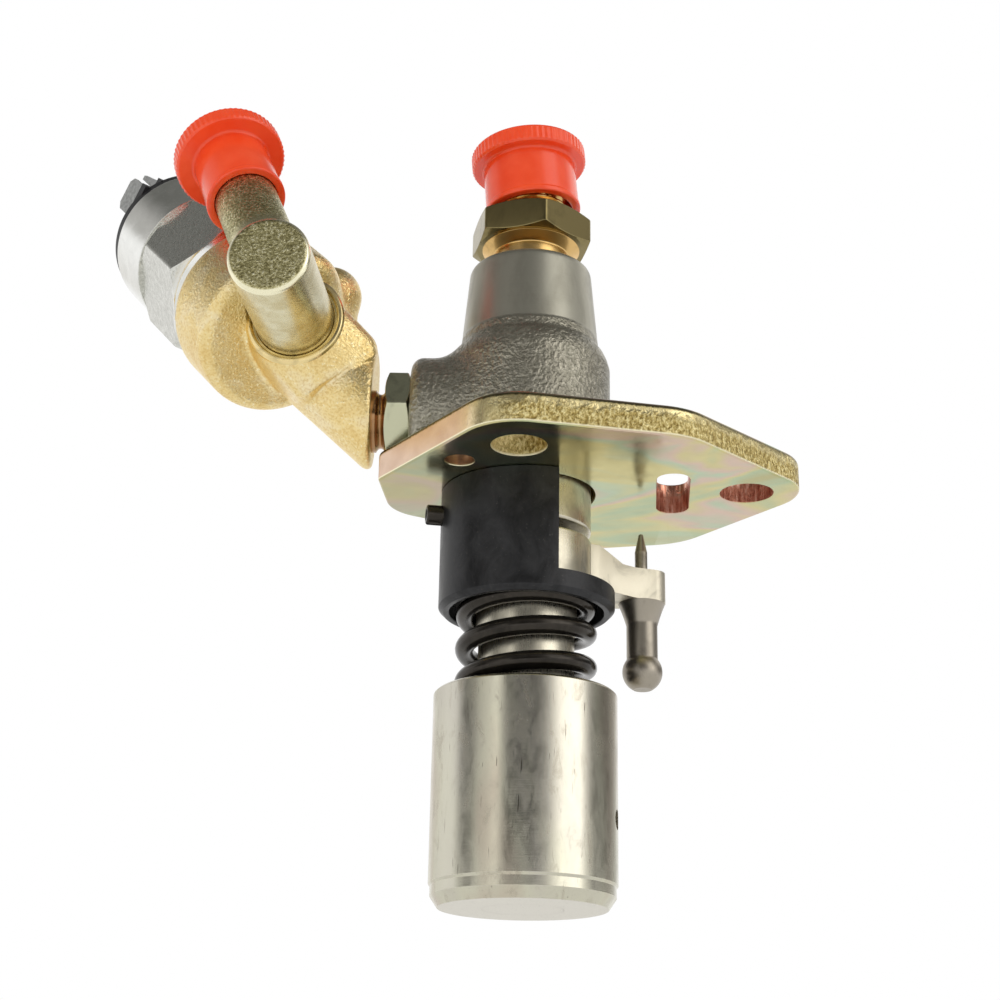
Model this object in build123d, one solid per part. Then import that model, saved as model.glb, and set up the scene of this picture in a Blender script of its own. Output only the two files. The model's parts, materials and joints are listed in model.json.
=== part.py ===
from build123d import *
import os
from math import cos, radians, sin, tan

# Diesel injection pump of a small single-cylinder engine, in millimetres.
# Z is the pump axis, upwards to the delivery outlet. The origin is where that axis
# meets the underside of the mounting plate. +X runs towards the farther mount hole.

# ---------------------------------------------------------------- fits
FIT = 0.05                       # radial clearance of a fixed fit
RUN = 0.05                       # radial clearance of a running fit
EDGE_BREAK = 0.4                 # small chamfer on machined edges

# ---------------------------------------------------------------- mounting plate
PLATE_THICKNESS = 5.0
PLATE_TOP_ROUND = 1.0            # rolled top edge
PLATE_BOTTOM_ROUND = 0.4
MOUNT_HOLE_D = 8.3               # clearance for M8
NEAR_HOLE_Y = -21.0
FAR_HOLE_X = 34.5
NEAR_LOBE_R = 9.4
FAR_LOBE_R = 8.2
CORNER_LOBE = (18.4, 12.9)       # centre of the two corners beside the control slot
CORNER_LOBE_R = 12.0
BACK_LOBE = (9.4, 18.3)
BACK_LOBE_R = 8.0
LEFT_EDGE_X = -23.0
LEFT_BACK_Y = 2.4
LEFT_BACK_R = 8.0
LEFT_NEAR_Y = -6.95
LEFT_NEAR_R = 2.0
LOCATING_HOLE = (-9.4, -15.4)
LOCATING_HOLE_D = 4.5
SLOT_X = 22.95
SLOT_WIDTH = 5.1
SLOT_LENGTH = 17.4
SLOT_CORNER_R = 2.4
REGISTER_DEPTH = 0.15            # recess in the underside that seats the guide sleeve
REGISTER_MARGIN = 0.2            # round the sleeve
REGISTER_END_ANGLE = 1.0         # past the ends of the sleeve's window, in degrees

# ---------------------------------------------------------------- housing
NOSE_R = 10.0
NOSE_LENGTH = 6.7                # below the plate's underside
NOSE_HOLE_R = 10.7               # hole in the plate round the nose
SPIGOT_HEIGHT = 2.5              # part of the nose that centres the plate
BASE_R = 13.1
SHOULDER_Z = 21.4
SHOULDER_TOP = (11.3, 25.1)
TOWER_FOOT = (11.07, 27.2)
TOWER_TOP_R = 9.97
TOWER_TOP_Z = 39.4
TOWER_ROUND = 1.0
INLET_Z = 12.3
INLET_TURN = 185.0               # azimuth of the fuel inlet
INLET_BOSS_R = 10.4
INLET_BOSS_REACH = 19.0          # from the pump axis to the boss face
INLET_BOSS_ROUND = 2.0
CAST_FILLET = 1.5
GALLERY_R = 7.2
GALLERY_HEIGHT = 3.6

# ---------------------------------------------------------------- barrel and plunger
BARREL_HEAD_R = 5.95
BARREL_HEAD_Z = (8.0, 20.5)
BARREL_R = 5.25
BARREL_FOOT_Z = -15.5
PLUNGER_R = 3.5
PORT_R = 1.3
PIN_R = 1.5
PIN_Z = 17.0
PIN_DEPTH = 1.0
STROKE = 8.0
PLUNGER_TOP_Z = 10.95            # at the bottom of the stroke
PLUNGER_SHANK_R = 3.0
HELIX_RELIEF = 0.5
HELIX_BAND = (2.0, 7.0)          # below the plunger's crown
HELIX_TILT = 25.0
SLOT_CUT_WIDTH = 1.6
VANE_Z = (-29.0, -25.0)
VANE_WIDTH = 14.0
VANE_THICKNESS = 3.0
VANE_TURN = 10.0
FOOT_R = 5.0
FOOT_THICKNESS = 1.5

# ---------------------------------------------------------------- delivery valve
SEAT_TOP_Z = 27.0
DELIVERY_BORE_R = 2.5
DELIVERY_HEAD_R = 3.4
DELIVERY_HEAD_HEIGHT = 1.5
DELIVERY_LIFT = 1.5
DELIVERY_STEM = 4.5
DELIVERY_SPIGOT = (2.2, 1.5)     # radius and height
GASKET_THICKNESS = 1.0
GASKET_INNER_R = 4.6
DELIVERY_WIRE = 0.8
DELIVERY_COIL_R = 3.0
DELIVERY_COILS = 6

# ---------------------------------------------------------------- valve holder
HOLDER_R = 6.2
HOLDER_NECK_Z = 42.6             # start of the cone under the hexagon
HOLDER_NECK_R = 8.2              # of the cone where it meets the hexagon
HOLDER_HEX = 18.0                # across flats
HOLDER_HEX_Z = (43.7, 48.8)
HOLDER_HEX_TURN = -13.0
HOLDER_HEX_CHAMFER = 25.0        # degrees
OUTLET_THREAD_R = 5.9
OUTLET_TOP_Z = 57.5
CHAMBER_R = 4.2
CHAMBER_TOP_Z = 41.0
OUTLET_BORE_R = 1.2
OUTLET_CONE_R = 3.6

# ---------------------------------------------------------------- guide sleeve
SLEEVE_R = 13.7
SLEEVE_LENGTH = 19.7
SLEEVE_BORE_R = 10.6
SLEEVE_GRIP = 7.0                # length gripping the nose
WINDOW_HALF_ANGLE = 66.0
WINDOW_DEPTH = 16.2
LIP_R = 8.3
LIP_THICKNESS = 0.8
SEAT_BORE_R = 12.0
SLEEVE_CHAMFER = 0.8
ROLL_PIN_R = 1.6
ROLL_PIN_BORE_R = 0.9
ROLL_PIN_TURN = -165.0
ROLL_PIN_Z = -4.5
ROLL_PIN_REACH = (8.6, 16.2)
ROLL_PIN_SLIT = 0.5

# ---------------------------------------------------------------- control sleeve and arm
RING_R = 10.1
RING_Z = (-15.6, -8.1)
TUBE_R = 7.45
TUBE_SHOULDER_R = 7.9
TUBE_SHOULDER_Z = -23.5
TUBE_FOOT_Z = -31.0
ARM_TURN = 22.5
ARM_Z = (-15.9, -10.9)
ARM_ROOT_HALF = 5.5
ARM_TIP_HALF = 3.2
ARM_WAIST_X = 17.0
ARM_TIP_X = 22.9
ARM_RAMP = (14.6, -8.8)          # end of the ramp along the arm, and its height at the ring
ARM_RAMP_MIDDLE = (11.15, -10.15)
ARM_TIP_ROUND = 2.5
ARM_PIN_X = 19.3
BALL_PIN_SHANK_R = 1.6
BALL_PIN_FLARE_R = 3.7
BALL_PIN_FLARE_MIDDLE = (3.0, -17.7)
BALL_PIN_WAIST_R = 2.45
BALL_PIN_WAIST_Z = (-25.0, -19.5)
BALL_R = 3.15
BALL_Z = -27.0
BALL_FOOT_Z = -29.8
POINTER_R = 1.0
POINTER_TIP_Z = -4.1
POINTER_TAPER = 3.0
PIN_JOINT_Z = -13.2              # where the two arm pins meet inside the arm

# ---------------------------------------------------------------- plunger spring and tappet
SPRING_WIRE = 2.9
SPRING_R = 9.5
SPRING_PITCH = 5.4
SPRING_END_PITCH = 3.0           # of the closed coil at the foot
SPRING_TOP_TURN = -90.0          # where the closed half coil at the top begins
SPRING_TOP_RISE = 0.35           # of that half coil
SPRING_GROUND = 0.4              # depth ground flat at each end
UPPER_SEAT_THICKNESS = 0.4
TAPPET_R = 14.0
TAPPET_TOP_Z = -32.5
TAPPET_FOOT_Z = -64.6
TAPPET_BORE_R = 11.9
TAPPET_FLOOR_Z = -56.0
TAPPET_BAND_Z = -61.3            # start of the relieved band above the foot
TAPPET_BAND_RELIEF = 0.25
TAPPET_CHAMFER = 1.4
TAPPET_MOUTH_CHAMFER = 0.8
TAPPET_HOLE_R = 1.5
TAPPET_HOLE_Z = -51.7
TAPPET_HOLE_TURN = -7.0
SHIM_THICKNESS = 2.0
LOWER_SEAT_THICKNESS = 3.0
LOWER_SEAT_R = 11.6

# ---------------------------------------------------------------- inlet stud and nut
STUD_R = 5.05
STUD_BORE_R = 2.0
STUD_REACH = (10.8, 28.0)
LOCKNUT_HEX = 14.0
LOCKNUT_TURN = 30.0              # flats above and below
LOCKNUT_THICKNESS = 4.0
LOCKNUT_GAP = 1.6                # thread showing between the nut and the casting

# ---------------------------------------------------------------- fuel elbow
ELBOW_X = -36.7
ELBOW_Z = 25.8
ELBOW_MOUTH_Y = -13.0
ELBOW_R = 6.3
ELBOW_LENGTH = 21.0              # from the mouth to the closed end
ELBOW_DEPTH = 4.0                # inside the casting
ELBOW_END_CHAMFER = 0.9
ELBOW_WALL = 1.4
STUB_SETBACK = 6.0               # from the closed end to the stub's axis
STUB_R = 5.0
STUB_BORE_R = 3.6
STUB_LENGTH = 27.0
STUB_AZIMUTH = 135.4
STUB_ELEVATION = 59.0

# ---------------------------------------------------------------- shut-off valve casting
SOLENOID_AZIMUTH = 139.7
SOLENOID_ELEVATION = 42.5
SOLENOID_SEAT = (-47.6, -0.64, 35.2)
BULB_R = 14.0
BULB_LENGTH = 14.5
BULB_ROUND = 2.0
ELBOW_BOSS_R = 7.55
ELBOW_BOSS_BACK_Y = 6.0
ELBOW_RECESS_R = 7.0
ELBOW_RECESS_DEPTH = 2.0
CASTING_ARM_R = 7.9
CASTING_ARM_RISE = 1.2           # of its axis above the inlet's, at the face
CASTING_CROWN_DROP = 0.84        # of its axis below the elbow's
CASTING_CROWN_ROUND = 5.0
HUMP_R = 5.1
HUMP_XY = (-34.2, 4.0)
HUMP_TOP_Z = 43.2
HUMP_ROUND = 3.0
FUEL_BORE_R = 2.2

# ---------------------------------------------------------------- shut-off solenoid
CAN_R = 12.95
CAN_LENGTH = 26.5                # from the casting to the can's rim
CAN_BORE_R = 10.6
SOLENOID_HEX = 24.4
SOLENOID_HEX_SPAN = (1.8, 16.7)  # along the solenoid's axis, from the casting
SOLENOID_HEX_TURN = 28.0
HEX_COLLAR_CHAMFER = 1.1
HEX_CAN_CHAMFER = 2.9
COLLAR_R = 11.0
SEAL_THICKNESS = 0.8
SEAL_R = 11.3
SHANK_R = 7.0
SHANK_LENGTH = 7.0
ARMATURE_R = 4.95
ARMATURE_SPAN = (-9.9, 11.5)
ARMATURE_TRAVEL = 1.0
ARMATURE_TIP_R = 2.9
ARMATURE_TIP_LENGTH = 3.0
CORE_R = 5.5
CORE_FOOT = 13.0
COIL_FLOOR = 3.6
COIL_SHELF = 0.6                 # between the floor and the bobbin's flange
COIL_HEAD_GAP = 1.6              # below the end cap's plug
ARMATURE_WELL = (2.7, 7.0)       # radius and depth of the spring's well
ARMATURE_WIRE = 0.6
ARMATURE_COILS = 6
END_CAP_R = 12.5
END_CAP_THICKNESS = 1.8
END_CAP_PLUG = 1.9
BLADE_SIZE = (6.0, 0.8, 8.7)     # width, thickness and height above the disc
BLADE_CHAMFER = 1.0
BLADE_PLACES = ((2.8, -9.6, 0), (6.6, -5.6, 90))  # x, y and turn of each blade on the disc
BLADE_BLOCK_HEIGHT = 1.2
BLADE_BLOCK_MARGIN = 0.8

# ---------------------------------------------------------------- dust caps
OUTLET_CAP_RIM_Z = 51.0
OUTLET_CAP_TOP_Z = 62.6
OUTLET_CAP_R = 7.9
OUTLET_CAP_BORE_R = 6.6
OUTLET_CAP_LEAN = 5.0
OUTLET_CAP_PIVOT_Z = 54.3
INLET_CAP_RIM = 19.3             # from the elbow's axis, along the stub
INLET_CAP_TOP = 33.1
INLET_CAP_R = 6.2
INLET_CAP_BORE_R = 5.3
CAP_FLANGE_THICKNESS = 3.0
OUTLET_CAP_FLANGE_R = 9.7
INLET_CAP_FLANGE_R = 8.95
CAP_TOP_WALL = 1.2
CAP_EDGE = 0.4


# ---------------------------------------------------------------- shared forms
def direction(azimuth, elevation=0.0):
    """Unit vector from an azimuth about Z and an elevation above the XY plane, in degrees."""
    flat = cos(radians(elevation))
    return Vector(flat * cos(radians(azimuth)), flat * sin(radians(azimuth)), sin(radians(elevation)))


def turned(*corners):
    """Solid of revolution about Z from corners given as (radius, height)."""
    return revolve(Plane.XZ * make_face(Polyline(*corners, close=True)), Axis.Z)


def tube(outer_r, inner_r, low, high):
    return turned((inner_r, low), (outer_r, low), (outer_r, high), (inner_r, high))


def rod(radius, low, high):
    return Pos(0, 0, low) * Cylinder(radius, high - low, align=(Align.CENTER, Align.CENTER, Align.MIN))


def hexagon(across_flats, low, high, turn):
    outline = RegularPolygon(across_flats / 2, 6, major_radius=False, rotation=turn)
    return Pos(0, 0, low) * extrude(outline, high - low)


def chamfered_nut(across_flats, low, high, turn, angle):
    """Hexagonal prism whose corners are turned down on both faces."""
    corner_r = across_flats / 2 / cos(radians(30))
    flat_r = across_flats / 2
    drop = (corner_r - flat_r) * tan(radians(angle))
    envelope = turned((0, low), (flat_r, low), (corner_r, low + drop), (corner_r, high - drop),
                      (flat_r, high), (0, high))
    return hexagon(across_flats, low, high, turn) & envelope


def helical_spring(wire, radius, turns, low, high, start=0.0):
    """Round-wire spring with its wire centres from low to high."""
    path = Helix((high - low) / turns, high - low, radius)
    section = Plane(path @ 0, z_dir=path % 0) * Circle(wire / 2)
    return Pos(0, 0, low) * Rot(0, 0, start) * sweep(section, path, is_frenet=True)


def dust_cap(body_r, bore_r, flange_r, rim, floor, top):
    """Pull-off cap: open at the rim, closed by a floor, with a grip flange round a hollow top."""
    flange = top - CAP_FLANGE_THICKNESS
    well_r = body_r - CAP_TOP_WALL
    well_floor = floor + CAP_TOP_WALL
    shell = turned((bore_r, rim), (body_r, rim), (body_r, flange), (flange_r - CAP_EDGE, flange),
                   (flange_r, flange + CAP_EDGE), (flange_r, top - CAP_EDGE), (flange_r - CAP_EDGE, top),
                   (well_r, top), (well_r, well_floor), (0, well_floor), (0, floor), (bore_r, floor))
    return shell


# ---------------------------------------------------------------- frames of the slanted groups
INLET_FRAME = Plane((0, 0, INLET_Z), x_dir=(0, 0, 1), z_dir=direction(INLET_TURN))
ELBOW_FRAME = Plane((ELBOW_X, ELBOW_MOUTH_Y, ELBOW_Z), x_dir=(1, 0, 0), z_dir=(0, -1, 0))
STUB_AXIS = direction(STUB_AZIMUTH, STUB_ELEVATION)
STUB_FRAME = Plane((ELBOW_X, ELBOW_MOUTH_Y - ELBOW_LENGTH + STUB_SETBACK, ELBOW_Z), z_dir=STUB_AXIS)
SOLENOID_AXIS = direction(SOLENOID_AZIMUTH, SOLENOID_ELEVATION)
SOLENOID_UP = Vector(0, 0, 1) - SOLENOID_AXIS * SOLENOID_AXIS.Z
SOLENOID_FRAME = Plane(SOLENOID_SEAT, x_dir=SOLENOID_UP, z_dir=SOLENOID_AXIS)
OUTLET_CAP_FRAME = (Pos(0, 0, OUTLET_CAP_PIVOT_Z) * Rot(0, -OUTLET_CAP_LEAN, 0)
                    * Pos(0, 0, -OUTLET_CAP_PIVOT_Z))

# Heights and places that follow from the driving sizes.
CASTING_FACE = INLET_BOSS_REACH + LOCKNUT_THICKNESS + LOCKNUT_GAP
LIP_BOTTOM_Z = -WINDOW_DEPTH - LIP_THICKNESS
UPPER_SEAT_Z = LIP_BOTTOM_Z - UPPER_SEAT_THICKNESS
SHIM_TOP_Z = TAPPET_FLOOR_Z + SHIM_THICKNESS
LOWER_SEAT_Z = SHIM_TOP_Z + LOWER_SEAT_THICKNESS
FOOT_Z = (SHIM_TOP_Z + RUN, SHIM_TOP_Z + RUN + FOOT_THICKNESS)
HOLDER_FOOT_Z = SEAT_TOP_Z + GASKET_THICKNESS
BARREL_BORE_R = PLUNGER_R + RUN


# ---------------------------------------------------------------- body pieces on the pump axis
def mounting_plate():
    """Plate cut to a taut line round its lobes, with a rolled top edge."""
    near = Pos(0, NEAR_HOLE_Y) * Circle(NEAR_LOBE_R)
    far = Pos(FAR_HOLE_X, 0) * Circle(FAR_LOBE_R)
    corner_x, corner_y = CORNER_LOBE
    corners = [Pos(corner_x, side * corner_y) * Circle(CORNER_LOBE_R) for side in (-1, 1)]
    back = Pos(*BACK_LOBE) * Circle(BACK_LOBE_R)
    left_back = Pos(LEFT_EDGE_X + LEFT_BACK_R, LEFT_BACK_Y) * Circle(LEFT_BACK_R)
    left_near = Pos(LEFT_EDGE_X + LEFT_NEAR_R, LEFT_NEAR_Y) * Circle(LEFT_NEAR_R)
    lobes = [near, far, *corners, back, left_back, left_near]
    outline = make_hull([lobe.edge() for lobe in lobes])
    plate = extrude(outline, PLATE_THICKNESS)
    plate = fillet(plate.faces().sort_by(Axis.Z)[-1].edges(), PLATE_TOP_ROUND)
    plate = fillet(plate.faces().sort_by(Axis.Z)[0].edges(), PLATE_BOTTOM_ROUND)
    holes = Circle(NOSE_HOLE_R)
    holes += Pos(0, NEAR_HOLE_Y) * Circle(MOUNT_HOLE_D / 2)
    holes += Pos(FAR_HOLE_X, 0) * Circle(MOUNT_HOLE_D / 2)
    holes += Pos(*LOCATING_HOLE) * Circle(LOCATING_HOLE_D / 2)
    holes += Pos(SLOT_X, 0) * RectangleRounded(SLOT_WIDTH, SLOT_LENGTH, SLOT_CORNER_R)
    return plate - extrude(holes, PLATE_THICKNESS) - sleeve_register()


def sleeve_register():
    """Shallow recess in the plate's underside for the top of the guide sleeve."""
    ring = rod(SLEEVE_R + REGISTER_MARGIN, 0, REGISTER_DEPTH)
    return ring - sector(2 * SLEEVE_R, WINDOW_HALF_ANGLE - REGISTER_END_ANGLE, 0, REGISTER_DEPTH)


def pump_housing():
    """Cast body: nose, spigot, flared base, machined tower and the fuel inlet's boss."""
    spigot_r = NOSE_HOLE_R - FIT
    spigot_z = PLATE_THICKNESS - SPIGOT_HEIGHT
    profile = [(0, -NOSE_LENGTH), (NOSE_R - EDGE_BREAK, -NOSE_LENGTH), (NOSE_R, EDGE_BREAK - NOSE_LENGTH),
               (NOSE_R, spigot_z), (spigot_r, spigot_z), (spigot_r, PLATE_THICKNESS),
               (BASE_R, PLATE_THICKNESS), (BASE_R, SHOULDER_Z)]
    tower_round_z = TOWER_TOP_Z - TOWER_ROUND
    edges = Polyline(*profile)
    edges += ThreePointArc(profile[-1], shoulder_middle(), SHOULDER_TOP)
    edges += Polyline(SHOULDER_TOP, TOWER_FOOT, (TOWER_TOP_R, tower_round_z))
    edges += RadiusArc((TOWER_TOP_R, tower_round_z), (TOWER_TOP_R - TOWER_ROUND, TOWER_TOP_Z), -TOWER_ROUND)
    edges += Polyline((TOWER_TOP_R - TOWER_ROUND, TOWER_TOP_Z), (0, TOWER_TOP_Z), (0, -NOSE_LENGTH))
    body = revolve(Plane.XZ * make_face(edges), Axis.Z)

    boss = rod(INLET_BOSS_R, 0, INLET_BOSS_REACH)
    boss = fillet(boss.edges().sort_by(Axis.Z)[-1], INLET_BOSS_ROUND)
    boss = INLET_FRAME * boss
    boss -= Pos(0, 0, PLATE_THICKNESS) * Box(
        *[4 * INLET_BOSS_REACH] * 3, align=(Align.CENTER, Align.CENTER, Align.MAX))
    body += boss

    body -= rod(BARREL_R + FIT, -NOSE_LENGTH, BARREL_HEAD_Z[0])
    body -= rod(BARREL_HEAD_R + FIT, BARREL_HEAD_Z[0], SEAT_TOP_Z)
    body -= rod(HOLDER_R + FIT, SEAT_TOP_Z, TOWER_TOP_Z)
    body -= rod(GALLERY_R, INLET_Z - GALLERY_HEIGHT / 2, INLET_Z + GALLERY_HEIGHT / 2)
    body -= INLET_FRAME * rod(STUD_R + FIT, STUD_REACH[0] - FIT, INLET_BOSS_REACH)
    body -= INLET_FRAME * rod(STUD_BORE_R, 0, STUD_REACH[0])
    body -= barrel_pin_space(FIT)
    body -= roll_pin_space()
    return body


def shoulder_middle():
    """Middle of the shoulder's quarter-round between the base and the tower's foot."""
    drop = SHOULDER_TOP[1] - SHOULDER_Z
    step = BASE_R - SHOULDER_TOP[0]
    return (SHOULDER_TOP[0] + step * sin(radians(45)), SHOULDER_Z + drop * sin(radians(45)))


def barrel_pin_space(clearance):
    """Radial pin from the barrel's slot to the back of the housing's base."""
    inner = BARREL_HEAD_R - PIN_DEPTH + FIT
    frame = Plane((0, 0, PIN_Z), z_dir=(0, 1, 0))
    return frame * rod(PIN_R + clearance, inner - clearance, BASE_R + clearance)


def barrel_pin():
    inner = BARREL_HEAD_R - PIN_DEPTH + FIT
    frame = Plane((0, 0, PIN_Z), z_dir=(0, 1, 0))
    return frame * rod(PIN_R, inner, BASE_R - EDGE_BREAK)


def pump_barrel():
    """Barrel with its head, lapped bore, two ports and the slot of its pin."""
    low, high = BARREL_HEAD_Z
    barrel = turned((BARREL_BORE_R, BARREL_FOOT_Z), (BARREL_R, BARREL_FOOT_Z), (BARREL_R, low),
                    (BARREL_HEAD_R, low), (BARREL_HEAD_R, high), (BARREL_BORE_R, high))
    ports = Plane((0, 0, INLET_Z), z_dir=(1, 0, 0)) * rod(PORT_R, -GALLERY_R, GALLERY_R)
    slot = Pos(0, BARREL_HEAD_R, PIN_Z) * Box(2 * (PIN_R + FIT), 2 * PIN_DEPTH, 3 * PIN_R)
    return barrel - ports - slot


def delivery_seat():
    low, top = BARREL_HEAD_Z[1], SEAT_TOP_Z
    seat_r = DELIVERY_BORE_R + EDGE_BREAK * 2
    cone_z = top - (seat_r - DELIVERY_BORE_R)
    return turned((DELIVERY_BORE_R, low), (BARREL_HEAD_R, low), (BARREL_HEAD_R, top), (seat_r, top),
                  (DELIVERY_BORE_R, cone_z))


def delivery_valve():
    """Valve with a fluted stem, a sealing cone, a head and a spigot for its spring."""
    stem_r = DELIVERY_BORE_R - RUN
    cone_z = SEAT_TOP_Z - 2 * EDGE_BREAK + RUN / 2
    head_z = cone_z + DELIVERY_HEAD_R - stem_r
    shoulder_z = head_z + DELIVERY_HEAD_HEIGHT
    spigot_r, spigot_height = DELIVERY_SPIGOT
    valve = turned((0, cone_z - DELIVERY_STEM), (stem_r, cone_z - DELIVERY_STEM), (stem_r, cone_z),
                   (DELIVERY_HEAD_R, head_z), (DELIVERY_HEAD_R, shoulder_z), (spigot_r, shoulder_z),
                   (spigot_r, shoulder_z + spigot_height), (0, shoulder_z + spigot_height))
    flute = Pos(stem_r + stem_r / 2, 0, cone_z - DELIVERY_STEM / 2 - stem_r / 2) * Box(
        1.4 * stem_r, 2 * stem_r, DELIVERY_STEM)
    for turn in (0, 90, 180, 270):
        valve -= Rot(0, 0, turn) * flute
    return valve


def delivery_spring():
    """Spring between the delivery valve's head and the roof of the holder's chamber."""
    stem_r = DELIVERY_BORE_R - RUN
    head_z = SEAT_TOP_Z - 2 * EDGE_BREAK + RUN / 2 + DELIVERY_HEAD_R - stem_r
    low = head_z + DELIVERY_HEAD_HEIGHT + DELIVERY_WIRE / 2 + RUN
    high = CHAMBER_TOP_Z - DELIVERY_WIRE / 2 - RUN
    return helical_spring(DELIVERY_WIRE, DELIVERY_COIL_R, DELIVERY_COILS, low, high)


def holder_gasket():
    return tube(HOLDER_R, GASKET_INNER_R, SEAT_TOP_Z, HOLDER_FOOT_Z)


def valve_holder():
    """Holder with its neck, chamfered hexagon, outlet thread and pipe cone."""
    hex_low, hex_high = HOLDER_HEX_Z
    neck = turned((0, HOLDER_FOOT_Z), (HOLDER_R, HOLDER_FOOT_Z), (HOLDER_R, HOLDER_NECK_Z),
                  (HOLDER_NECK_R, hex_low), (HOLDER_NECK_R, hex_high), (OUTLET_THREAD_R, hex_high),
                  (OUTLET_THREAD_R, OUTLET_TOP_Z - EDGE_BREAK), (OUTLET_THREAD_R - EDGE_BREAK, OUTLET_TOP_Z),
                  (0, OUTLET_TOP_Z))
    holder = neck + chamfered_nut(HOLDER_HEX, hex_low, hex_high, HOLDER_HEX_TURN, HOLDER_HEX_CHAMFER)
    holder -= rod(CHAMBER_R, HOLDER_FOOT_Z, CHAMBER_TOP_Z)
    holder -= rod(OUTLET_BORE_R, CHAMBER_TOP_Z, OUTLET_TOP_Z)
    cone_depth = (OUTLET_CONE_R - OUTLET_BORE_R) / tan(radians(30))
    holder -= turned((0, OUTLET_TOP_Z - cone_depth), (OUTLET_BORE_R, OUTLET_TOP_Z - cone_depth),
                     (OUTLET_CONE_R, OUTLET_TOP_Z), (0, OUTLET_TOP_Z))
    return holder


# ---------------------------------------------------------------- guide sleeve group
def sector(outer_r, half_angle, low, high):
    """Wedge about +X that reaches from the axis to outer_r."""
    reach = 2 * outer_r
    edge = (reach * cos(radians(half_angle)), reach * sin(radians(half_angle)))
    wedge = make_face(Polyline(
        (0, 0), (edge[0], -edge[1]), (reach, -edge[1]), (reach, edge[1]), edge, close=True))
    return Pos(0, 0, low) * extrude(wedge, high - low)


def guide_sleeve():
    """Sleeve pressed on the nose, with the control arm's window and the spring seat's bore."""
    foot = -SLEEVE_LENGTH
    sleeve = turned((NOSE_R + FIT, REGISTER_DEPTH), (SLEEVE_R, REGISTER_DEPTH),
                    (SLEEVE_R, foot + SLEEVE_CHAMFER), (SLEEVE_R - SLEEVE_CHAMFER, foot),
                    (SEAT_BORE_R, foot), (SEAT_BORE_R, LIP_BOTTOM_Z),
                    (LIP_R, LIP_BOTTOM_Z), (LIP_R, -WINDOW_DEPTH), (SLEEVE_BORE_R, -WINDOW_DEPTH),
                    (SLEEVE_BORE_R, -SLEEVE_GRIP), (NOSE_R + FIT, -SLEEVE_GRIP))
    sleeve -= sector(SLEEVE_R, WINDOW_HALF_ANGLE, -WINDOW_DEPTH, REGISTER_DEPTH)
    return sleeve - roll_pin_space()


def roll_pin_space():
    frame = Plane((0, 0, ROLL_PIN_Z), z_dir=direction(ROLL_PIN_TURN))
    return frame * rod(ROLL_PIN_R + FIT, ROLL_PIN_REACH[0] - FIT, ROLL_PIN_REACH[1])


def guide_roll_pin():
    """Split spring pin through the sleeve into the nose."""
    frame = Plane((0, 0, ROLL_PIN_Z), x_dir=(0, 0, 1), z_dir=direction(ROLL_PIN_TURN))
    pin = tube(ROLL_PIN_R, ROLL_PIN_BORE_R, *ROLL_PIN_REACH)
    middle = sum(ROLL_PIN_REACH) / 2
    slit = Pos(-ROLL_PIN_R, 0, middle) * Box(2 * ROLL_PIN_R, ROLL_PIN_SLIT, 2 * middle)
    return frame * (pin - slit)


def upper_spring_seat():
    return tube(SEAT_BORE_R - FIT, LIP_R, UPPER_SEAT_Z, LIP_BOTTOM_Z)


# ---------------------------------------------------------------- control group
def control_sleeve():
    """Ring that carries the arm, over a tube slotted for the plunger's vane."""
    low, high = RING_Z
    bore = BARREL_R + RUN
    rest_r = (LIP_R + RING_R) / 2
    rest_z = -WINDOW_DEPTH + RUN
    sleeve = turned((bore, TUBE_FOOT_Z), (TUBE_R, TUBE_FOOT_Z), (TUBE_R, TUBE_SHOULDER_Z),
                    (TUBE_SHOULDER_R, TUBE_SHOULDER_Z), (TUBE_SHOULDER_R, rest_z), (rest_r, rest_z),
                    (rest_r, low), (RING_R, low), (RING_R, high - EDGE_BREAK), (RING_R - EDGE_BREAK, high),
                    (bore, high))
    slot_top = VANE_Z[1] + STROKE + RUN
    slot_height = slot_top - TUBE_FOOT_Z
    slot = Pos(0, 0, TUBE_FOOT_Z + slot_height / 2) * Box(
        2 * RING_R, VANE_THICKNESS + 2 * RUN, slot_height)
    return sleeve - Rot(0, 0, VANE_TURN) * slot


def control_arm():
    """Arm from the ring: a ramped root, tapering sides and a rounded tip."""
    low, high = ARM_Z
    root_x = RING_R - ARM_ROOT_HALF / 2
    ramp_x, ramp_z = ARM_RAMP
    side = Polyline((root_x, low), (ARM_TIP_X, low), (ARM_TIP_X, high), (ramp_x, high))
    side += ThreePointArc((ramp_x, high), ARM_RAMP_MIDDLE, (RING_R, ramp_z))
    side += Polyline((RING_R, ramp_z), (root_x, ramp_z), (root_x, low))
    blank = extrude(Plane.XZ * make_face(side), ARM_ROOT_HALF, both=True)
    plan = make_face(Polyline(
        (root_x, -ARM_ROOT_HALF), (RING_R, -ARM_ROOT_HALF), (ARM_WAIST_X, -ARM_TIP_HALF),
        (ARM_TIP_X, -ARM_TIP_HALF), (ARM_TIP_X, ARM_TIP_HALF), (ARM_WAIST_X, ARM_TIP_HALF),
        (RING_R, ARM_ROOT_HALF), (root_x, ARM_ROOT_HALF), close=True))
    arm = blank & Pos(0, 0, low) * extrude(plan, ramp_z - low)
    tip_edges = arm.edges().filter_by(Axis.Z).group_by(Axis.X)[-1]
    arm = fillet(tip_edges, ARM_TIP_ROUND)
    arm -= rod(RING_R + FIT, low, ramp_z)
    arm -= Pos(ARM_PIN_X, 0) * rod(BALL_PIN_SHANK_R + FIT, low, PIN_JOINT_Z)
    arm -= Pos(ARM_PIN_X, 0) * rod(POINTER_R + FIT, PIN_JOINT_Z, high)
    return Rot(0, 0, ARM_TURN) * arm


def at_arm_pin(piece):
    return Rot(0, 0, ARM_TURN) * Pos(ARM_PIN_X, 0) * piece


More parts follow.
